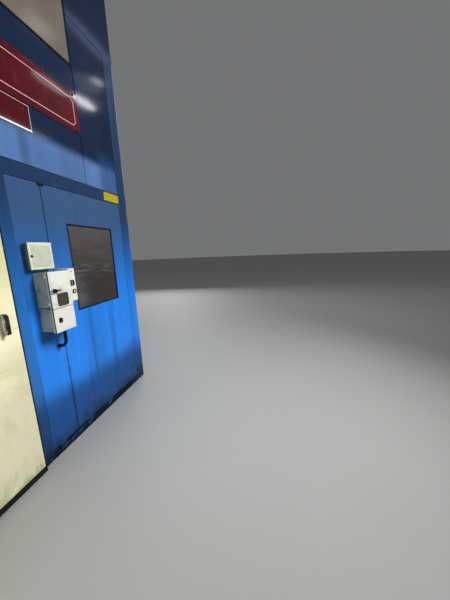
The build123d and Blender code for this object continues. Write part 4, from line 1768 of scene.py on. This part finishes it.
    def strap_half(self, x: float, y: float, z: float, end: float) -> Piece:
        """Model a hinge's upper barrel with its cap, and the strap with its screws.

        Args:
            x: The hinge's axis.
            y: The hinge's axis.
            z: The barrel's bottom.
            end: The X of the strap's free end.

        Returns:
            The hinge's moving half.
        """
        leaf_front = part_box("front_door")[0].y
        face = leaf_front - self.leaf_depth
        lift = (self.barrel_length - self.leaf_height) / 2
        strap = self.block("strap", (x, face, z + lift), (end, leaf_front, z + lift + self.leaf_height))
        self.ease(
            strap, self.leaf_corner, self.corner_steps,
            lambda middle, way: RUNS_DEEP(middle, way) and middle.x > x + CLOSE,
            Element.EDGE,
        )
        self.ease(strap, self.leaf_edge, 2, IN_FRONT)
        top = z + self.barrel_length
        seat = (x, y, top - self.barrel_edge)
        cap = self.drum("cap", seat, Facing.UP, self.cap_radius, self.cap_height)
        self.soften(cap, self.cap_edge)
        middle_z = z + self.barrel_length / 2
        screws = [
            self.screw((x + along, face, middle_z), Facing.FRONT, self.strap_screw)
            for along in self.strap_screw_at
        ]
        return self.join("strap_half", (self.barrel(x, y, z), strap, cap, *screws))


@dataclass
class SignBoards(SubAssembly):
    """Bare name board, lower board and number plate, with their lines and screws."""

    line: float = 0.006
    line_inset: Pair = (0.040, 0.048)
    corner_cut: float = 0.028
    proud: float = 0.0008
    rim: float = 0.004
    trim: float = 0.011
    trim_edge: float = 0.00032
    plate_inset: float = 0.001
    plate_line: float = 0.007
    bolt_inset: Pair = (0.036, 0.013)
    bolt_radius: float = 0.008
    rivet_inset: float = 0.012
    lower_rivet_inset: float = 0.018
    rivet_radius: float = 0.0055

    def dress(self) -> None:
        """Paint the boards and add what is on them."""
        self.finishes.on_nodes(Finish.BOARD, "name_board", "lower_board")
        self.finishes.on_nodes(Finish.PLATE, "number_plate")
        self.make_name_line()
        self.make_lower_edges()
        self.make_plate_line()
        self.make_fasteners()

    def frame_line(self, name: str, node: str, inset: Pair, width: float, cut: float) -> Piece:
        """Model a flat painted frame line on a board's face.

        Args:
            name: The piece's name.
            node: The board's node.
            inset: The line's distance from the board's ends and from its long edges.
            width: The line's width.
            cut: How much its corners are cut off.

        Returns:
            The line as a thin raised frame.
        """
        low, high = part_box(node)
        x, z = inset
        line = self.block(
            name, (low.x + x, low.y - self.proud, low.z + z), (high.x - x, low.y, high.z - z)
        )
        if cut:
            self.round_corners(line, cut, 1)
        return self.hollow(line, width, Axis.Y)

    def make_name_line(self) -> None:
        """Model the name board's pinstripe with its cut corners."""
        piece = self.frame_line("name_board_line", "name_board", self.line_inset, self.line, self.corner_cut)
        self.hang(piece, Finish.LINE, Slot.BOARD)

    def make_lower_edges(self) -> None:
        """Model the lower board's thin edge line and its brighter bottom trim."""
        piece = self.frame_line("lower_board_line", "lower_board", (0.0, 0.0), self.rim, 0.0)
        self.hang(piece, Finish.LINE, Slot.BOARD)
        low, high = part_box("lower_board")
        face = low.y - 2 * self.proud
        trim = self.block("lower_board_trim", (low.x, face, low.z), (high.x, low.y, low.z + self.trim))
        self.soften(trim, self.trim_edge)
        self.hang(trim, Finish.EDGE, Slot.BOARD)

    def make_plate_line(self) -> None:
        """Model the black border of the yellow plate."""
        inset = (self.plate_inset, self.plate_inset)
        piece = self.frame_line("plate_border", "number_plate", inset, self.plate_line, 0.0)
        self.hang(piece, Finish.PLATE_LINE, Slot.PLATE)

    def make_fasteners(self) -> None:
        """Model the name board's dark corner bolts and the rivets of the other two."""
        low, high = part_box("name_board")
        x, z = self.bolt_inset
        levels = (low.z + z, high.z - z)
        corners = [(side * (high.x - x), low.y, level) for side in (-1, 1) for level in levels]
        bolt = self.bolt(corners[0], Facing.FRONT, self.bolt_radius)
        bolts = self.spread("name_board_bolts", bolt, corners)
        self.hang(bolts, Finish.PLASTIC, Slot.HINGE)
        low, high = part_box("lower_board")
        inset = self.lower_rivet_inset
        places = [(x, low.y, high.z - inset) for x in (low.x + inset, high.x - inset)]
        low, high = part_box("number_plate")
        inset = self.rivet_inset
        places.append((high.x - inset, low.y, low.z + inset))
        places.append((low.x + inset, low.y, high.z - inset))
        rivet = self.screw(places[0], Facing.FRONT, self.rivet_radius)
        rivets = self.spread("board_rivets", rivet, places)
        self.hang(rivets, Finish.PLASTIC, Slot.HINGE)


@dataclass
class JunctionBox(SubAssembly):
    """Flat grey junction box with its key lock."""

    lock_edge: float = 0.0012
    lock_rim: float = 0.002
    lock_sink: float = 0.0015
    key_width: float = 0.0024
    key_length: float = 0.010
    key_depth: float = 0.0016
    key_edge: float = 0.00036
    border: float = 0.010
    border_proud: float = 0.0006
    border_edge: float = 0.00024

    def dress(self) -> None:
        """Paint the box, then make the lock and the lid's pressed border."""
        self.finishes.on_nodes(Finish.BOX, "junction_lid")
        # The body takes a much darker copy of the lid's coat: painted shade.
        self.finishes.on_nodes(Finish.BOX_SHELL, "junction_box")
        self.make_lock()
        self.make_border()

    def make_lock(self) -> None:
        """Model the round lock with its key slot."""
        low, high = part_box("junction_lock")
        middle = (low + high) / 2
        lock = self.drum(
            "junction_lock", (middle.x, high.y, middle.z), Facing.FRONT, (high.x - low.x) / 2, high.y - low.y
        )
        self.ease(lock, self.lock_edge, 2, IN_FRONT)
        self.inset(lock, self.lock_rim, -self.lock_sink, looks(Facing.FRONT, SQUARELY))
        self.hang(lock, Finish.PLASTIC, Slot.PLASTIC, Body.JUNCTION_LID, "junction_lock")
        face = low.y + self.lock_sink - self.key_depth / 2
        half_width, half_length = self.key_width / 2, self.key_length / 2
        key = self.block(
            "junction_key",
            (middle.x - half_width, face, middle.z - half_length),
            (middle.x + half_width, face + self.key_depth, middle.z + half_length),
        )
        self.soften(key, self.key_edge, 1)
        self.hang(key, Finish.ZINC, Slot.HINGE, Body.JUNCTION_LID)

    def make_border(self) -> None:
        """Model the shallow pressed border round the lid's face, in a paler copy of the lid's coat: a painted
        highlight.
        """
        low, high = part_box("junction_box")
        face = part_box("junction_lid")[0].y
        # The border's paler coat is a painted highlight.
        ring = self.block(
            "lid_border", (low.x, face - self.border_proud, low.z), (high.x - self.border, face, high.z)
        )
        self.hollow(ring, self.border, Axis.Y)
        self.soften(ring, self.border_edge, 1)
        self.hang(ring, Finish.BOX_RIM, Slot.GREY, Body.JUNCTION_LID)


@dataclass
class ControlStation(SubAssembly):
    """Control box, terminal box and button box, with switch, labels, locks and conduit."""

    cover_left: float = 0.048
    cover_bottom: float = 0.011
    cover_size: Pair = (0.098, 0.095)
    cover_depth: float = 0.004
    cover_corner: float = 0.015
    corner_steps: int = 4
    cover_rim: float = 0.005
    cover_sink: float = 0.0012
    cover_edge: float = 0.0006
    label_left: float = 0.062
    label_top: float = 0.024
    label_size: Pair = (0.074, 0.080)
    label_depth: float = 0.0008
    label_corner: float = 0.003
    door_screw: Pair = (0.007, 0.129)
    screw_radius: float = 0.0045
    hub_radius: float = 0.0145
    hub_depth: float = 0.018
    hub_edge: float = 0.0027
    hub_sink: float = 0.0003
    lever_width: float = 0.018
    lever_middle: float = 0.0054
    lever_edge: float = 0.0018
    lever_taper: Pair = (0.55, 0.8)
    glint_mark_size: Pair = (0.010, 0.0035)
    mark_depth: float = 0.0006
    toggle_size: Pair = (0.034, 0.046)
    plate_depth: float = 0.003
    plate_edge: float = 0.0009
    key_gap: float = 0.002
    key_edge: float = 0.001
    key_taper: float = 0.7
    button_lift: float = 0.074
    button_radius: float = 0.017
    button_rim: float = 0.005
    button_edge: float = 0.001
    button_border: float = 0.0068
    button_sink: float = 0.0015
    pad_radius: float = 0.00884
    lamp_from_top: float = 0.023
    lamp_radius: float = 0.0045
    tag_inset: Pair = (0.002, 0.012)
    tag_bottom: float = 0.005
    tag_height: float = 0.037
    tag_corner: float = 0.002
    lock_corner: float = 0.006
    lock_edge: float = 0.0012
    lock_dot: float = 0.003
    spacer_gap: float = 0.006
    spacer_sink: float = 0.001
    spacer_edge: float = 0.0004
    spacer_border: float = 0.004
    rib_pitch: float = 0.0045
    rib_thickness: float = 0.0032
    rib_proud: float = 0.0012
    rib_edge: float = 0.00128
    rib_sides: int = 20
    bend_radius: float = 0.054
    collar_radius: float = 0.0145
    collar_length: float = 0.005
    collar_edge: float = 0.0015

    def dress(self) -> None:
        """Paint the boxes and make what is on them."""
        paint = self.finishes.on_nodes
        paint(Finish.CASE, "control_door", "terminal_cover")
        # The bodies take a darker copy of the station's coat: painted shade.
        paint(Finish.SHELL, "control_box", "terminal_box")
        paint(Finish.STATION, "button_box")
        paint(Finish.PLASTIC, "conduit", "conduit_glands")
        self.make_cover()
        self.make_label()
        self.make_switch()
        self.make_buttons()
        self.make_button_tag()
        self.make_terminal_lock()
        self.make_spacer()
        self.make_conduit()
        self.make_collars()

    def make_cover(self) -> None:
        """Model the dark rounded cover on the control door."""
        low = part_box("control_door")[0]
        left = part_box("terminal_cover")[0].x + self.cover_left
        bottom = low.z + self.cover_bottom
        width, height = self.cover_size
        cover = self.block(
            "door_cover", (left, low.y - self.cover_depth, bottom), (left + width, low.y, bottom + height)
        )
        self.round_corners(cover, self.cover_corner, self.corner_steps)
        self.inset(cover, self.cover_rim, -self.cover_sink, IN_FRONT)
        self.soften(cover, self.cover_edge, 1)
        self.hang(cover, Finish.COVER, Slot.PLASTIC, Body.CONTROL_DOOR)

    def make_label(self) -> None:
        """Model the bare label and the small screw on the control door."""
        low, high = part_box("control_door")
        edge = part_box("terminal_cover")[0].x
        left = edge + self.label_left
        top = high.z - self.label_top
        width, height = self.label_size
        label = self.block(
            "door_label", (left, low.y - self.label_depth, top - height), (left + width, low.y, top)
        )
        self.round_corners(label, self.label_corner, 3)
        self.hang(label, Finish.LABEL, Slot.GREY, Body.CONTROL_DOOR)
        along, up = self.door_screw
        screw = self.screw((edge + along, low.y, low.z + up), Facing.FRONT, self.screw_radius)
        screw.name = "door_screw"
        self.hang(screw, Finish.PLASTIC, Slot.PLASTIC, Body.CONTROL_DOOR)

    def make_switch(self) -> None:
        """Model the rotary switch: a round hub and a tapered lever across it."""
        low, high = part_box("rotary_switch")
        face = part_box("control_door")[0].y
        middle = (low + high) / 2
        hub = self.drum(
            "hub", (middle.x, face - self.hub_sink, middle.z), Facing.FRONT, self.hub_radius, self.hub_depth
        )
        self.ease(hub, self.hub_edge, 3, IN_FRONT)
        half = self.lever_width / 2
        front = low.y + self.mark_depth
        lever = self.block(
            "lever", (low.x, front, middle.z - half), (high.x, face - self.hub_depth, middle.z + half)
        )
        ends = ((Facing.LEFT, low.x), (Facing.RIGHT, high.x))
        for (facing, end), taper in zip(ends, self.lever_taper):
            with self.shaping(lever, Element.FACE, looks(facing)):
                pivot = (end, front + self.lever_middle, middle.z)
                bpy.ops.transform.resize(value=(1.0, taper, taper), center_override=pivot)
        self.soften(lever, self.lever_edge, 3)
        piece = self.join("rotary_switch", (hub, lever))
        self.hang(piece, Finish.PLASTIC, Slot.PLASTIC, Body.SWITCH, "rotary_switch")
        # The white mark at the lever's end is a pointer mark that also stands in for the knob's glint: a
        # painted highlight.
        length, width = self.glint_mark_size
        right = high.x - half
        mark = self.block(
            "switch_mark",
            (right - length, low.y, middle.z - width / 2),
            (right, front + self.mark_depth, middle.z + width / 2),
        )
        self.hang(mark, Finish.LABEL, Slot.GREY, Body.SWITCH)

    def make_buttons(self) -> None:
        """Model the two-key toggle, the ring button with its pale centre, and the lamp."""
        low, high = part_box("button_box")
        face = low.y
        plate, key = self.model_toggle(face)
        seat = ((low.x + high.x) / 2, face, low.z + self.button_lift)
        ring = self.drum("ring", seat, Facing.FRONT, self.button_radius, self.button_rim)
        self.ease(ring, self.button_edge, 2, IN_FRONT)
        self.inset(ring, self.button_border, -self.button_sink, IN_FRONT)
        lamp_place = (seat[0] - self.lamp_radius / 2, face, high.z - self.lamp_from_top)
        lamp = self.screw(lamp_place, Facing.FRONT, self.lamp_radius)
        piece = self.join("toggle_and_button", (plate, key, ring, lamp))
        self.hang(piece, Finish.PLASTIC, Slot.PLASTIC, Body.ENCLOSURE, "toggle_and_button")
        pad = self.drum("button_pad", seat, Facing.FRONT, self.pad_radius, self.button_rim)
        self.ease(pad, self.button_sink, 3, IN_FRONT)
        self.hang(pad, Finish.LABEL, Slot.GREY)

    def model_toggle(self, face: float) -> tuple[Piece, Piece]:
        """Model the toggle's plate and its two keys, and hang the grey key.

        Args:
            face: The Y of the button box's front.

        Returns:
            The plate and the black key.
        """
        low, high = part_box("toggle_and_button")
        width, height = self.toggle_size
        back = face - self.plate_depth
        plate = self.block("plate", (low.x, back, high.z - height), (low.x + width, face, high.z))
        self.soften(plate, self.plate_edge)
        gap = self.key_gap
        key_width = (width - 3 * gap) / 2
        keys = []
        for index in range(2):
            left = low.x + gap + index * (key_width + gap)
            key = self.block(
                "key", (left, low.y, high.z - height + 2 * gap), (left + key_width, back, high.z - 2 * gap)
            )
            with self.shaping(key, Element.FACE, IN_FRONT):
                pivot = (left, low.y, high.z - height / 2)
                bpy.ops.transform.resize(value=(1.0, 1.0, self.key_taper), center_override=pivot)
            self.soften(key, self.key_edge, 3)
            keys.append(key)
        grey, black = keys
        grey.name = "grey_key"
        self.hang(grey, Finish.KEY, Slot.PLASTIC)
        return plate, black

    def make_button_tag(self) -> None:
        """Model the bare cream label under the button."""
        low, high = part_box("button_box")
        left, right = self.tag_inset
        bottom = low.z + self.tag_bottom
        tag = self.block(
            "button_tag",
            (low.x + left, low.y - self.label_depth, bottom),
            (high.x - right, low.y, bottom + self.tag_height),
        )
        self.round_corners(tag, self.tag_corner, 2)
        self.hang(tag, Finish.CREAM_LABEL, Slot.GREY)

    def make_terminal_lock(self) -> None:
        """Model the terminal cover's rounded lock with its bright pin."""
        low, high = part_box("terminal_lock")
        lock = self.block("terminal_lock", low, high)
        self.round_corners(lock, self.lock_corner, self.corner_steps)
        self.ease(lock, self.lock_edge, 2, IN_FRONT)
        self.hang(lock, Finish.PLASTIC, Slot.PLASTIC, Body.TERMINAL_COVER, "terminal_lock")
        middle = (low + high) / 2
        pin = self.screw((middle.x, low.y, middle.z), Facing.FRONT, self.lock_dot)
        pin.name = "lock_pin"
        self.hang(pin, Finish.ZINC, Slot.HINGE, Body.TERMINAL_COVER)

    def make_spacer(self) -> None:
        """Model the sheet spacer between the two boxes, up to a thin gap under the upper one."""
        left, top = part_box("terminal_box")[0].x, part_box("terminal_box")[1].z
        low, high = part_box("control_box")
        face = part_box("terminal_cover")[1].y + self.spacer_gap
        spacer = self.block("box_spacer", (left, face, top), (high.x, high.y, low.z - self.spacer_gap))
        self.inset(spacer, self.spacer_border, -self.spacer_sink, IN_FRONT)
        self.soften(spacer, self.spacer_edge)
        self.hang(spacer, Finish.SHELL, Slot.GREY)

    def make_conduit(self) -> None:
        """Model one rib and copy it along the conduit's bend."""
        low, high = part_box("conduit")
        radius = (high.x - low.x) / 2
        x = low.x + radius
        y = low.y + radius
        level = low.z + radius
        bend = self.bend_radius
        straight = high.z - level - bend
        quarter = bend * math.pi / 2
        total = straight + quarter + max(0.0, high.y - y - bend)
        base = (0.0, 0.0, -self.rib_thickness / 2)
        rib = self.drum(
            "rib", base, Facing.UP, radius + self.rib_proud, self.rib_thickness, self.rib_sides
        )
        self.ease(rib, self.rib_edge, 2, lies_along(Axis.Z))
        places = []
        for index in range(int(total / self.rib_pitch) + 1):
            run = index * self.rib_pitch
            angle = min(max(run - straight, 0.0) / bend, math.pi / 2)
            tail = max(0.0, run - straight - quarter)
            rise = min(run, straight)
            spot = Vector((
                x,
                y + bend * (1.0 - math.cos(angle)) + tail,
                high.z - rise - bend * math.sin(angle),
            ))
            places.append(Matrix.Translation(spot) @ turn(angle, Axis.X))
        ribs = self.repeat("conduit_ribs", rib, places)
        self.hang(ribs, Finish.PLASTIC, Slot.PLASTIC)

    def make_collars(self) -> None:
        """Model the round collars where the conduit enters its two glands."""
        low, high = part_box("conduit")
        radius = (high.x - low.x) / 2
        x = low.x + radius
        top = self.drum(
            "collar", (x, low.y + radius, high.z), Facing.DOWN, self.collar_radius, self.collar_length
        )
        end = self.drum(
            "collar", (x, high.y, low.z + radius), Facing.FRONT, self.collar_radius, self.collar_length
        )
        for collar in (top, end):
            self.soften(collar, self.collar_edge)
        piece = self.join("conduit_collars", (top, end))
        self.hang(piece, Finish.PLASTIC, Slot.PLASTIC)


@dataclass
class PressCore(SubAssembly):
    """The four-column press inside the enclosure, with its bolts, ram ring and die clamps."""

    flange_height: float = 0.090
    bolt_circle: float = 0.350
    flange_bolts: int = 12
    flange_bolt: float = 0.030
    ring_reach: float = 0.065
    ring_height: float = 0.030
    ring_clearance: float = 0.0005
    ring_edge: float = 0.003
    ring_sides: int = 64
    ring_bolts: int = 8
    ring_bolt: float = 0.014
    shoe_height: float = 0.050
    slot_x: float = 0.320
    clamp_y: float = 0.100
    clamp_width: float = 0.050
    clamp_depth: float = 0.028
    clamp_reach: Pair = (0.235, 0.368)
    clamp_edge: float = 0.003
    heel_length: float = 0.024
    heel_step: float = 0.004
    clamp_bolt: float = 0.017

    def dress(self) -> None:
        """Paint the press and make its fastenings."""
        paint = self.finishes.on_nodes
        paint(Finish.PRESS, "press_bed", "press_crown", "press_slide", "main_cylinder")
        paint(Finish.COLUMN, "press_columns", "press_ram")
        paint(Finish.BRIGHT, "bolster_plate")
        paint(Finish.DIE, "lower_die", "upper_die")
        self.make_flange_bolts()
        self.make_ram_ring()
        self.make_clamps()

    def circle(self, bolt: Piece, name: str, count: int) -> Piece:
        """Copy a bolt round the press's axis, and join the copies."""
        turns = [turn(2 * math.pi * index / count, Axis.Z) for index in range(count)]
        return self.repeat(name, bolt, turns)

    def make_flange_bolts(self) -> None:
        """Model the bolts round the main cylinder's flange."""
        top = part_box("main_cylinder")[0].z + self.flange_height
        bolt = self.bolt((self.bolt_circle, 0.0, top), Facing.UP, self.flange_bolt)
        bolts = self.circle(bolt, "flange_bolts", self.flange_bolts)
        self.hang(bolts, Finish.ZINC, Slot.COLUMN)

    def make_ram_ring(self) -> None:
        """Model the clamp ring that holds the ram's foot on the slide."""
        low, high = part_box("press_ram")
        radius = (high.x - low.x) / 2
        outer = radius + self.ring_reach
        foot = (0.0, 0.0, low.z)
        ring = self.drum("ram_ring", foot, Facing.UP, outer, self.ring_height, self.ring_sides)
        self.hollow(ring, self.ring_reach - self.ring_clearance, Axis.Z)
        self.soften(ring, self.ring_edge)
        self.hang(ring, Finish.PRESS, Slot.PRESS)
        seat = (radius + self.ring_reach / 2, 0.0, low.z + self.ring_height)
        bolt = self.bolt(seat, Facing.UP, self.ring_bolt)
        bolts = self.circle(bolt, "ram_ring_bolts", self.ring_bolts)
        self.hang(bolts, Finish.ZINC, Slot.COLUMN)

    def clamp(self, seat: float, up: int) -> Piece:
        """Model one strap clamp with its heel and bolt, at the right front.

        Args:
            seat: The height of the surface that the die's shoe lies on.
            up: 1 on the bolster, -1 under the slide.

        Returns:
            The clamp.
        """
        near, far = self.clamp_reach
        half = self.clamp_width / 2
        front, back = -self.clamp_y - half, half - self.clamp_y
        shoe = seat + up * self.shoe_height
        face = shoe + up * self.clamp_depth
        strap = self.block("clamp", (near, front, min(shoe, face)), (far, back, max(shoe, face)))
        step = self.heel_step
        sunk = shoe + up * step
        heel = self.block(
            "heel",
            (far - self.heel_length, front + step, min(seat, sunk)),
            (far - step, back - step, max(seat, sunk)),
        )
        for part in (strap, heel):
            self.soften(part, self.clamp_edge)
        facing = Facing.UP if up > 0 else Facing.DOWN
        bolt = self.bolt((self.slot_x, -self.clamp_y, face), facing, self.clamp_bolt)
        return self.join("clamp", (strap, heel, bolt))

    def make_clamps(self) -> None:
        """Model the clamps of both dies, one copied to four places each."""
        moves = [Matrix.Translation((0.0, shift, 0.0)) for shift in (0.0, 2 * self.clamp_y)]
        half_turn = turn(math.pi, Axis.Z)
        places = moves + [half_turn @ move for move in moves]
        seats = (
            (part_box("bolster_plate")[1].z, 1, "lower_clamps"),
            (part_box("press_slide")[0].z, -1, "upper_clamps"),
        )
        for seat, up, name in seats:
            piece = self.repeat(name, self.clamp(seat, up), places)
            self.hang(piece, Finish.DIE, Slot.DIE)


SKY = (0.5, 0.62, 1.0)


@dataclass(frozen=True)
class Softbox:
    """One soft lamp that the camera doesn't see."""

    name: str
    place: Point
    aim: Point
    size: Pair
    watts: float
    spread: float = 180.0
    shape: LampShape = LampShape.OVAL
    tint: Colour = (1.0, 1.0, 1.0)
    mirrored: bool = True

    def hang(self) -> None:
        """Add the lamp."""
        light = bpy.data.lights.new(self.name, "AREA")
        light.shape = self.shape.value
        light.size, light.size_y = self.size
        light.energy = self.watts
        light.color = self.tint
        light.spread = math.radians(self.spread)
        lamp = bpy.data.objects.new(self.name, light)
        lamp.location = self.place
        toward = Vector(self.aim) - Vector(self.place)
        lamp.rotation_euler = toward.to_track_quat("-Z", "Y").to_euler()
        lamp.visible_camera = False
        lamp.visible_glossy = self.mirrored
        bpy.context.scene.collection.objects.link(lamp)


@dataclass
class Studio:
    """Camera at the photograph's place, soft lamps, pale floor and background."""

    finishes: Finishes
    eye_out: float = 1.675
    eye_height: float = 1.55
    heading: float = 11.205
    tilt: float = 10.595
    roll: float = -2.240
    lens: float = 15.12
    shift: Pair = (-0.00045, -0.0049)
    floor_radius: float = 60.0
    floor_sides: int = 96
    background: Colour = (0.17, 0.173, 0.176)
    lamps: tuple[Softbox, ...] = (
        Softbox("key", (1.0, -5.2, 3.8), (0.1, -1.4, 0.7), (1.6, 1.6), 105.0, 120.0, mirrored=False),
        Softbox("haze", (5.6, -6.5, 3.7), (5.6, 0.0, 3.7), (6.8, 2.4), 14.0, shape=LampShape.OBLONG),
        Softbox("right", (8.0, 1.0, 3.4), (1.4, 0.0, 1.9), (4.0, 4.0), 210.0),
        Softbox("left", (-8.0, 2.5, 3.4), (-1.4, 0.5, 1.9), (4.0, 4.0), 210.0),
        Softbox("back", (0.5, 8.0, 3.4), (0.0, 1.4, 1.9), (5.0, 4.0), 240.0),
        Softbox("fill", (-4.5, -4.0, 1.8), (-0.5, -1.5, 1.2), (1.5, 1.5), 34.0),
        Softbox("edge", (6.2, -0.8, 5.2), (1.4, -1.4, 3.0), (2.2, 0.8), 20.0),
        Softbox("strip_crown", (4.2, -3.55, 6.0), (4.2, -3.55, 0.0), (1.6, 0.3), 3.4, tint=SKY),
        Softbox("strip_cream", (3.7, -4.26, 6.0), (3.7, -4.26, 0.0), (0.7, 0.2), 3.0),
        Softbox("strip_near", (5.4, -4.26, 6.0), (5.4, -4.26, 0.0), (0.4, 0.2), 2.0),
        Softbox("strip_glow", (5.4, -4.55, 6.0), (5.4, -4.55, 0.0), (0.9, 0.6), 1.8),
        Softbox("strip_board", (5.2, -5.5, 6.0), (5.2, -5.5, 0.0), (1.1, 0.3), 5.0),
        Softbox("strip_middle", (6.1, -5.26, 6.0), (6.1, -5.26, 0.0), (0.9, 0.3), 22.0),
        Softbox("strip_far", (6.75, -8.3, 6.0), (6.75, -8.3, 0.0), (2.5, 0.30), 10.0),
    )

    def build(self) -> None:
        """Set up everything round the machine."""
        self.make_camera()
        self.make_floor()
        self.make_background()
        for lamp in self.lamps:
            lamp.hang()
            log.info("lamp %s", lamp.name)
        bpy.context.scene.view_settings.view_transform = "Standard"

    def make_camera(self) -> None:
        """Add the camera, with its heading, tilt and roll as the photograph's."""
        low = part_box("corner_posts")[0]
        heading, tilt, roll = (math.radians(value) for value in (self.heading, self.tilt, self.roll))
        ahead, aside = math.cos(heading), math.sin(heading)
        forward = Vector((ahead * math.cos(tilt), aside * math.cos(tilt), -math.sin(tilt)))
        level = Vector((aside, -ahead, 0.0))
        upward = level.cross(forward)
        right = level * math.cos(roll) + upward * math.sin(roll)
        upward = upward * math.cos(roll) - level * math.sin(roll)
        data = bpy.data.cameras.new("photo_camera")
        data.lens = self.lens
        data.shift_x, data.shift_y = self.shift
        camera = bpy.data.objects.new("photo_camera", data)
        place = Matrix.Translation((low.x, low.y - self.eye_out, self.eye_height))
        camera.matrix_world = place @ Matrix((right, upward, -forward)).transposed().to_4x4()
        bpy.context.scene.collection.objects.link(camera)
        bpy.context.scene.camera = camera

    def make_floor(self) -> None:
        """Lay the round pale floor."""
        pick()
        bpy.ops.mesh.primitive_circle_add(
            vertices=self.floor_sides, radius=self.floor_radius, fill_type="NGON"
        )
        floor = bpy.context.object
        floor.name = "studio_floor"
        self.finishes.on_piece(Finish.FLOOR, floor)

    def make_background(self) -> None:
        """Set the plain background light."""
        world = bpy.data.worlds.new("studio")
        world.use_nodes = True
        world.node_tree.nodes["Background"].inputs["Color"].default_value = (*self.background, 1.0)
        bpy.context.scene.world = world


def main() -> None:
    """Dress every sub-assembly, then set up the studio."""
    logging.basicConfig(level=logging.INFO, format="%(name)s: %(message)s")
    finishes = Finishes()
    for kind in (SoundEnclosure, WindowUnit, FrontDoor, SignBoards, JunctionBox, ControlStation, PressCore):
        log.info("dressing %s", kind.__name__)
        kind(finishes).dress()
    Studio(finishes).build()


if __name__ == "__main__":
    main()
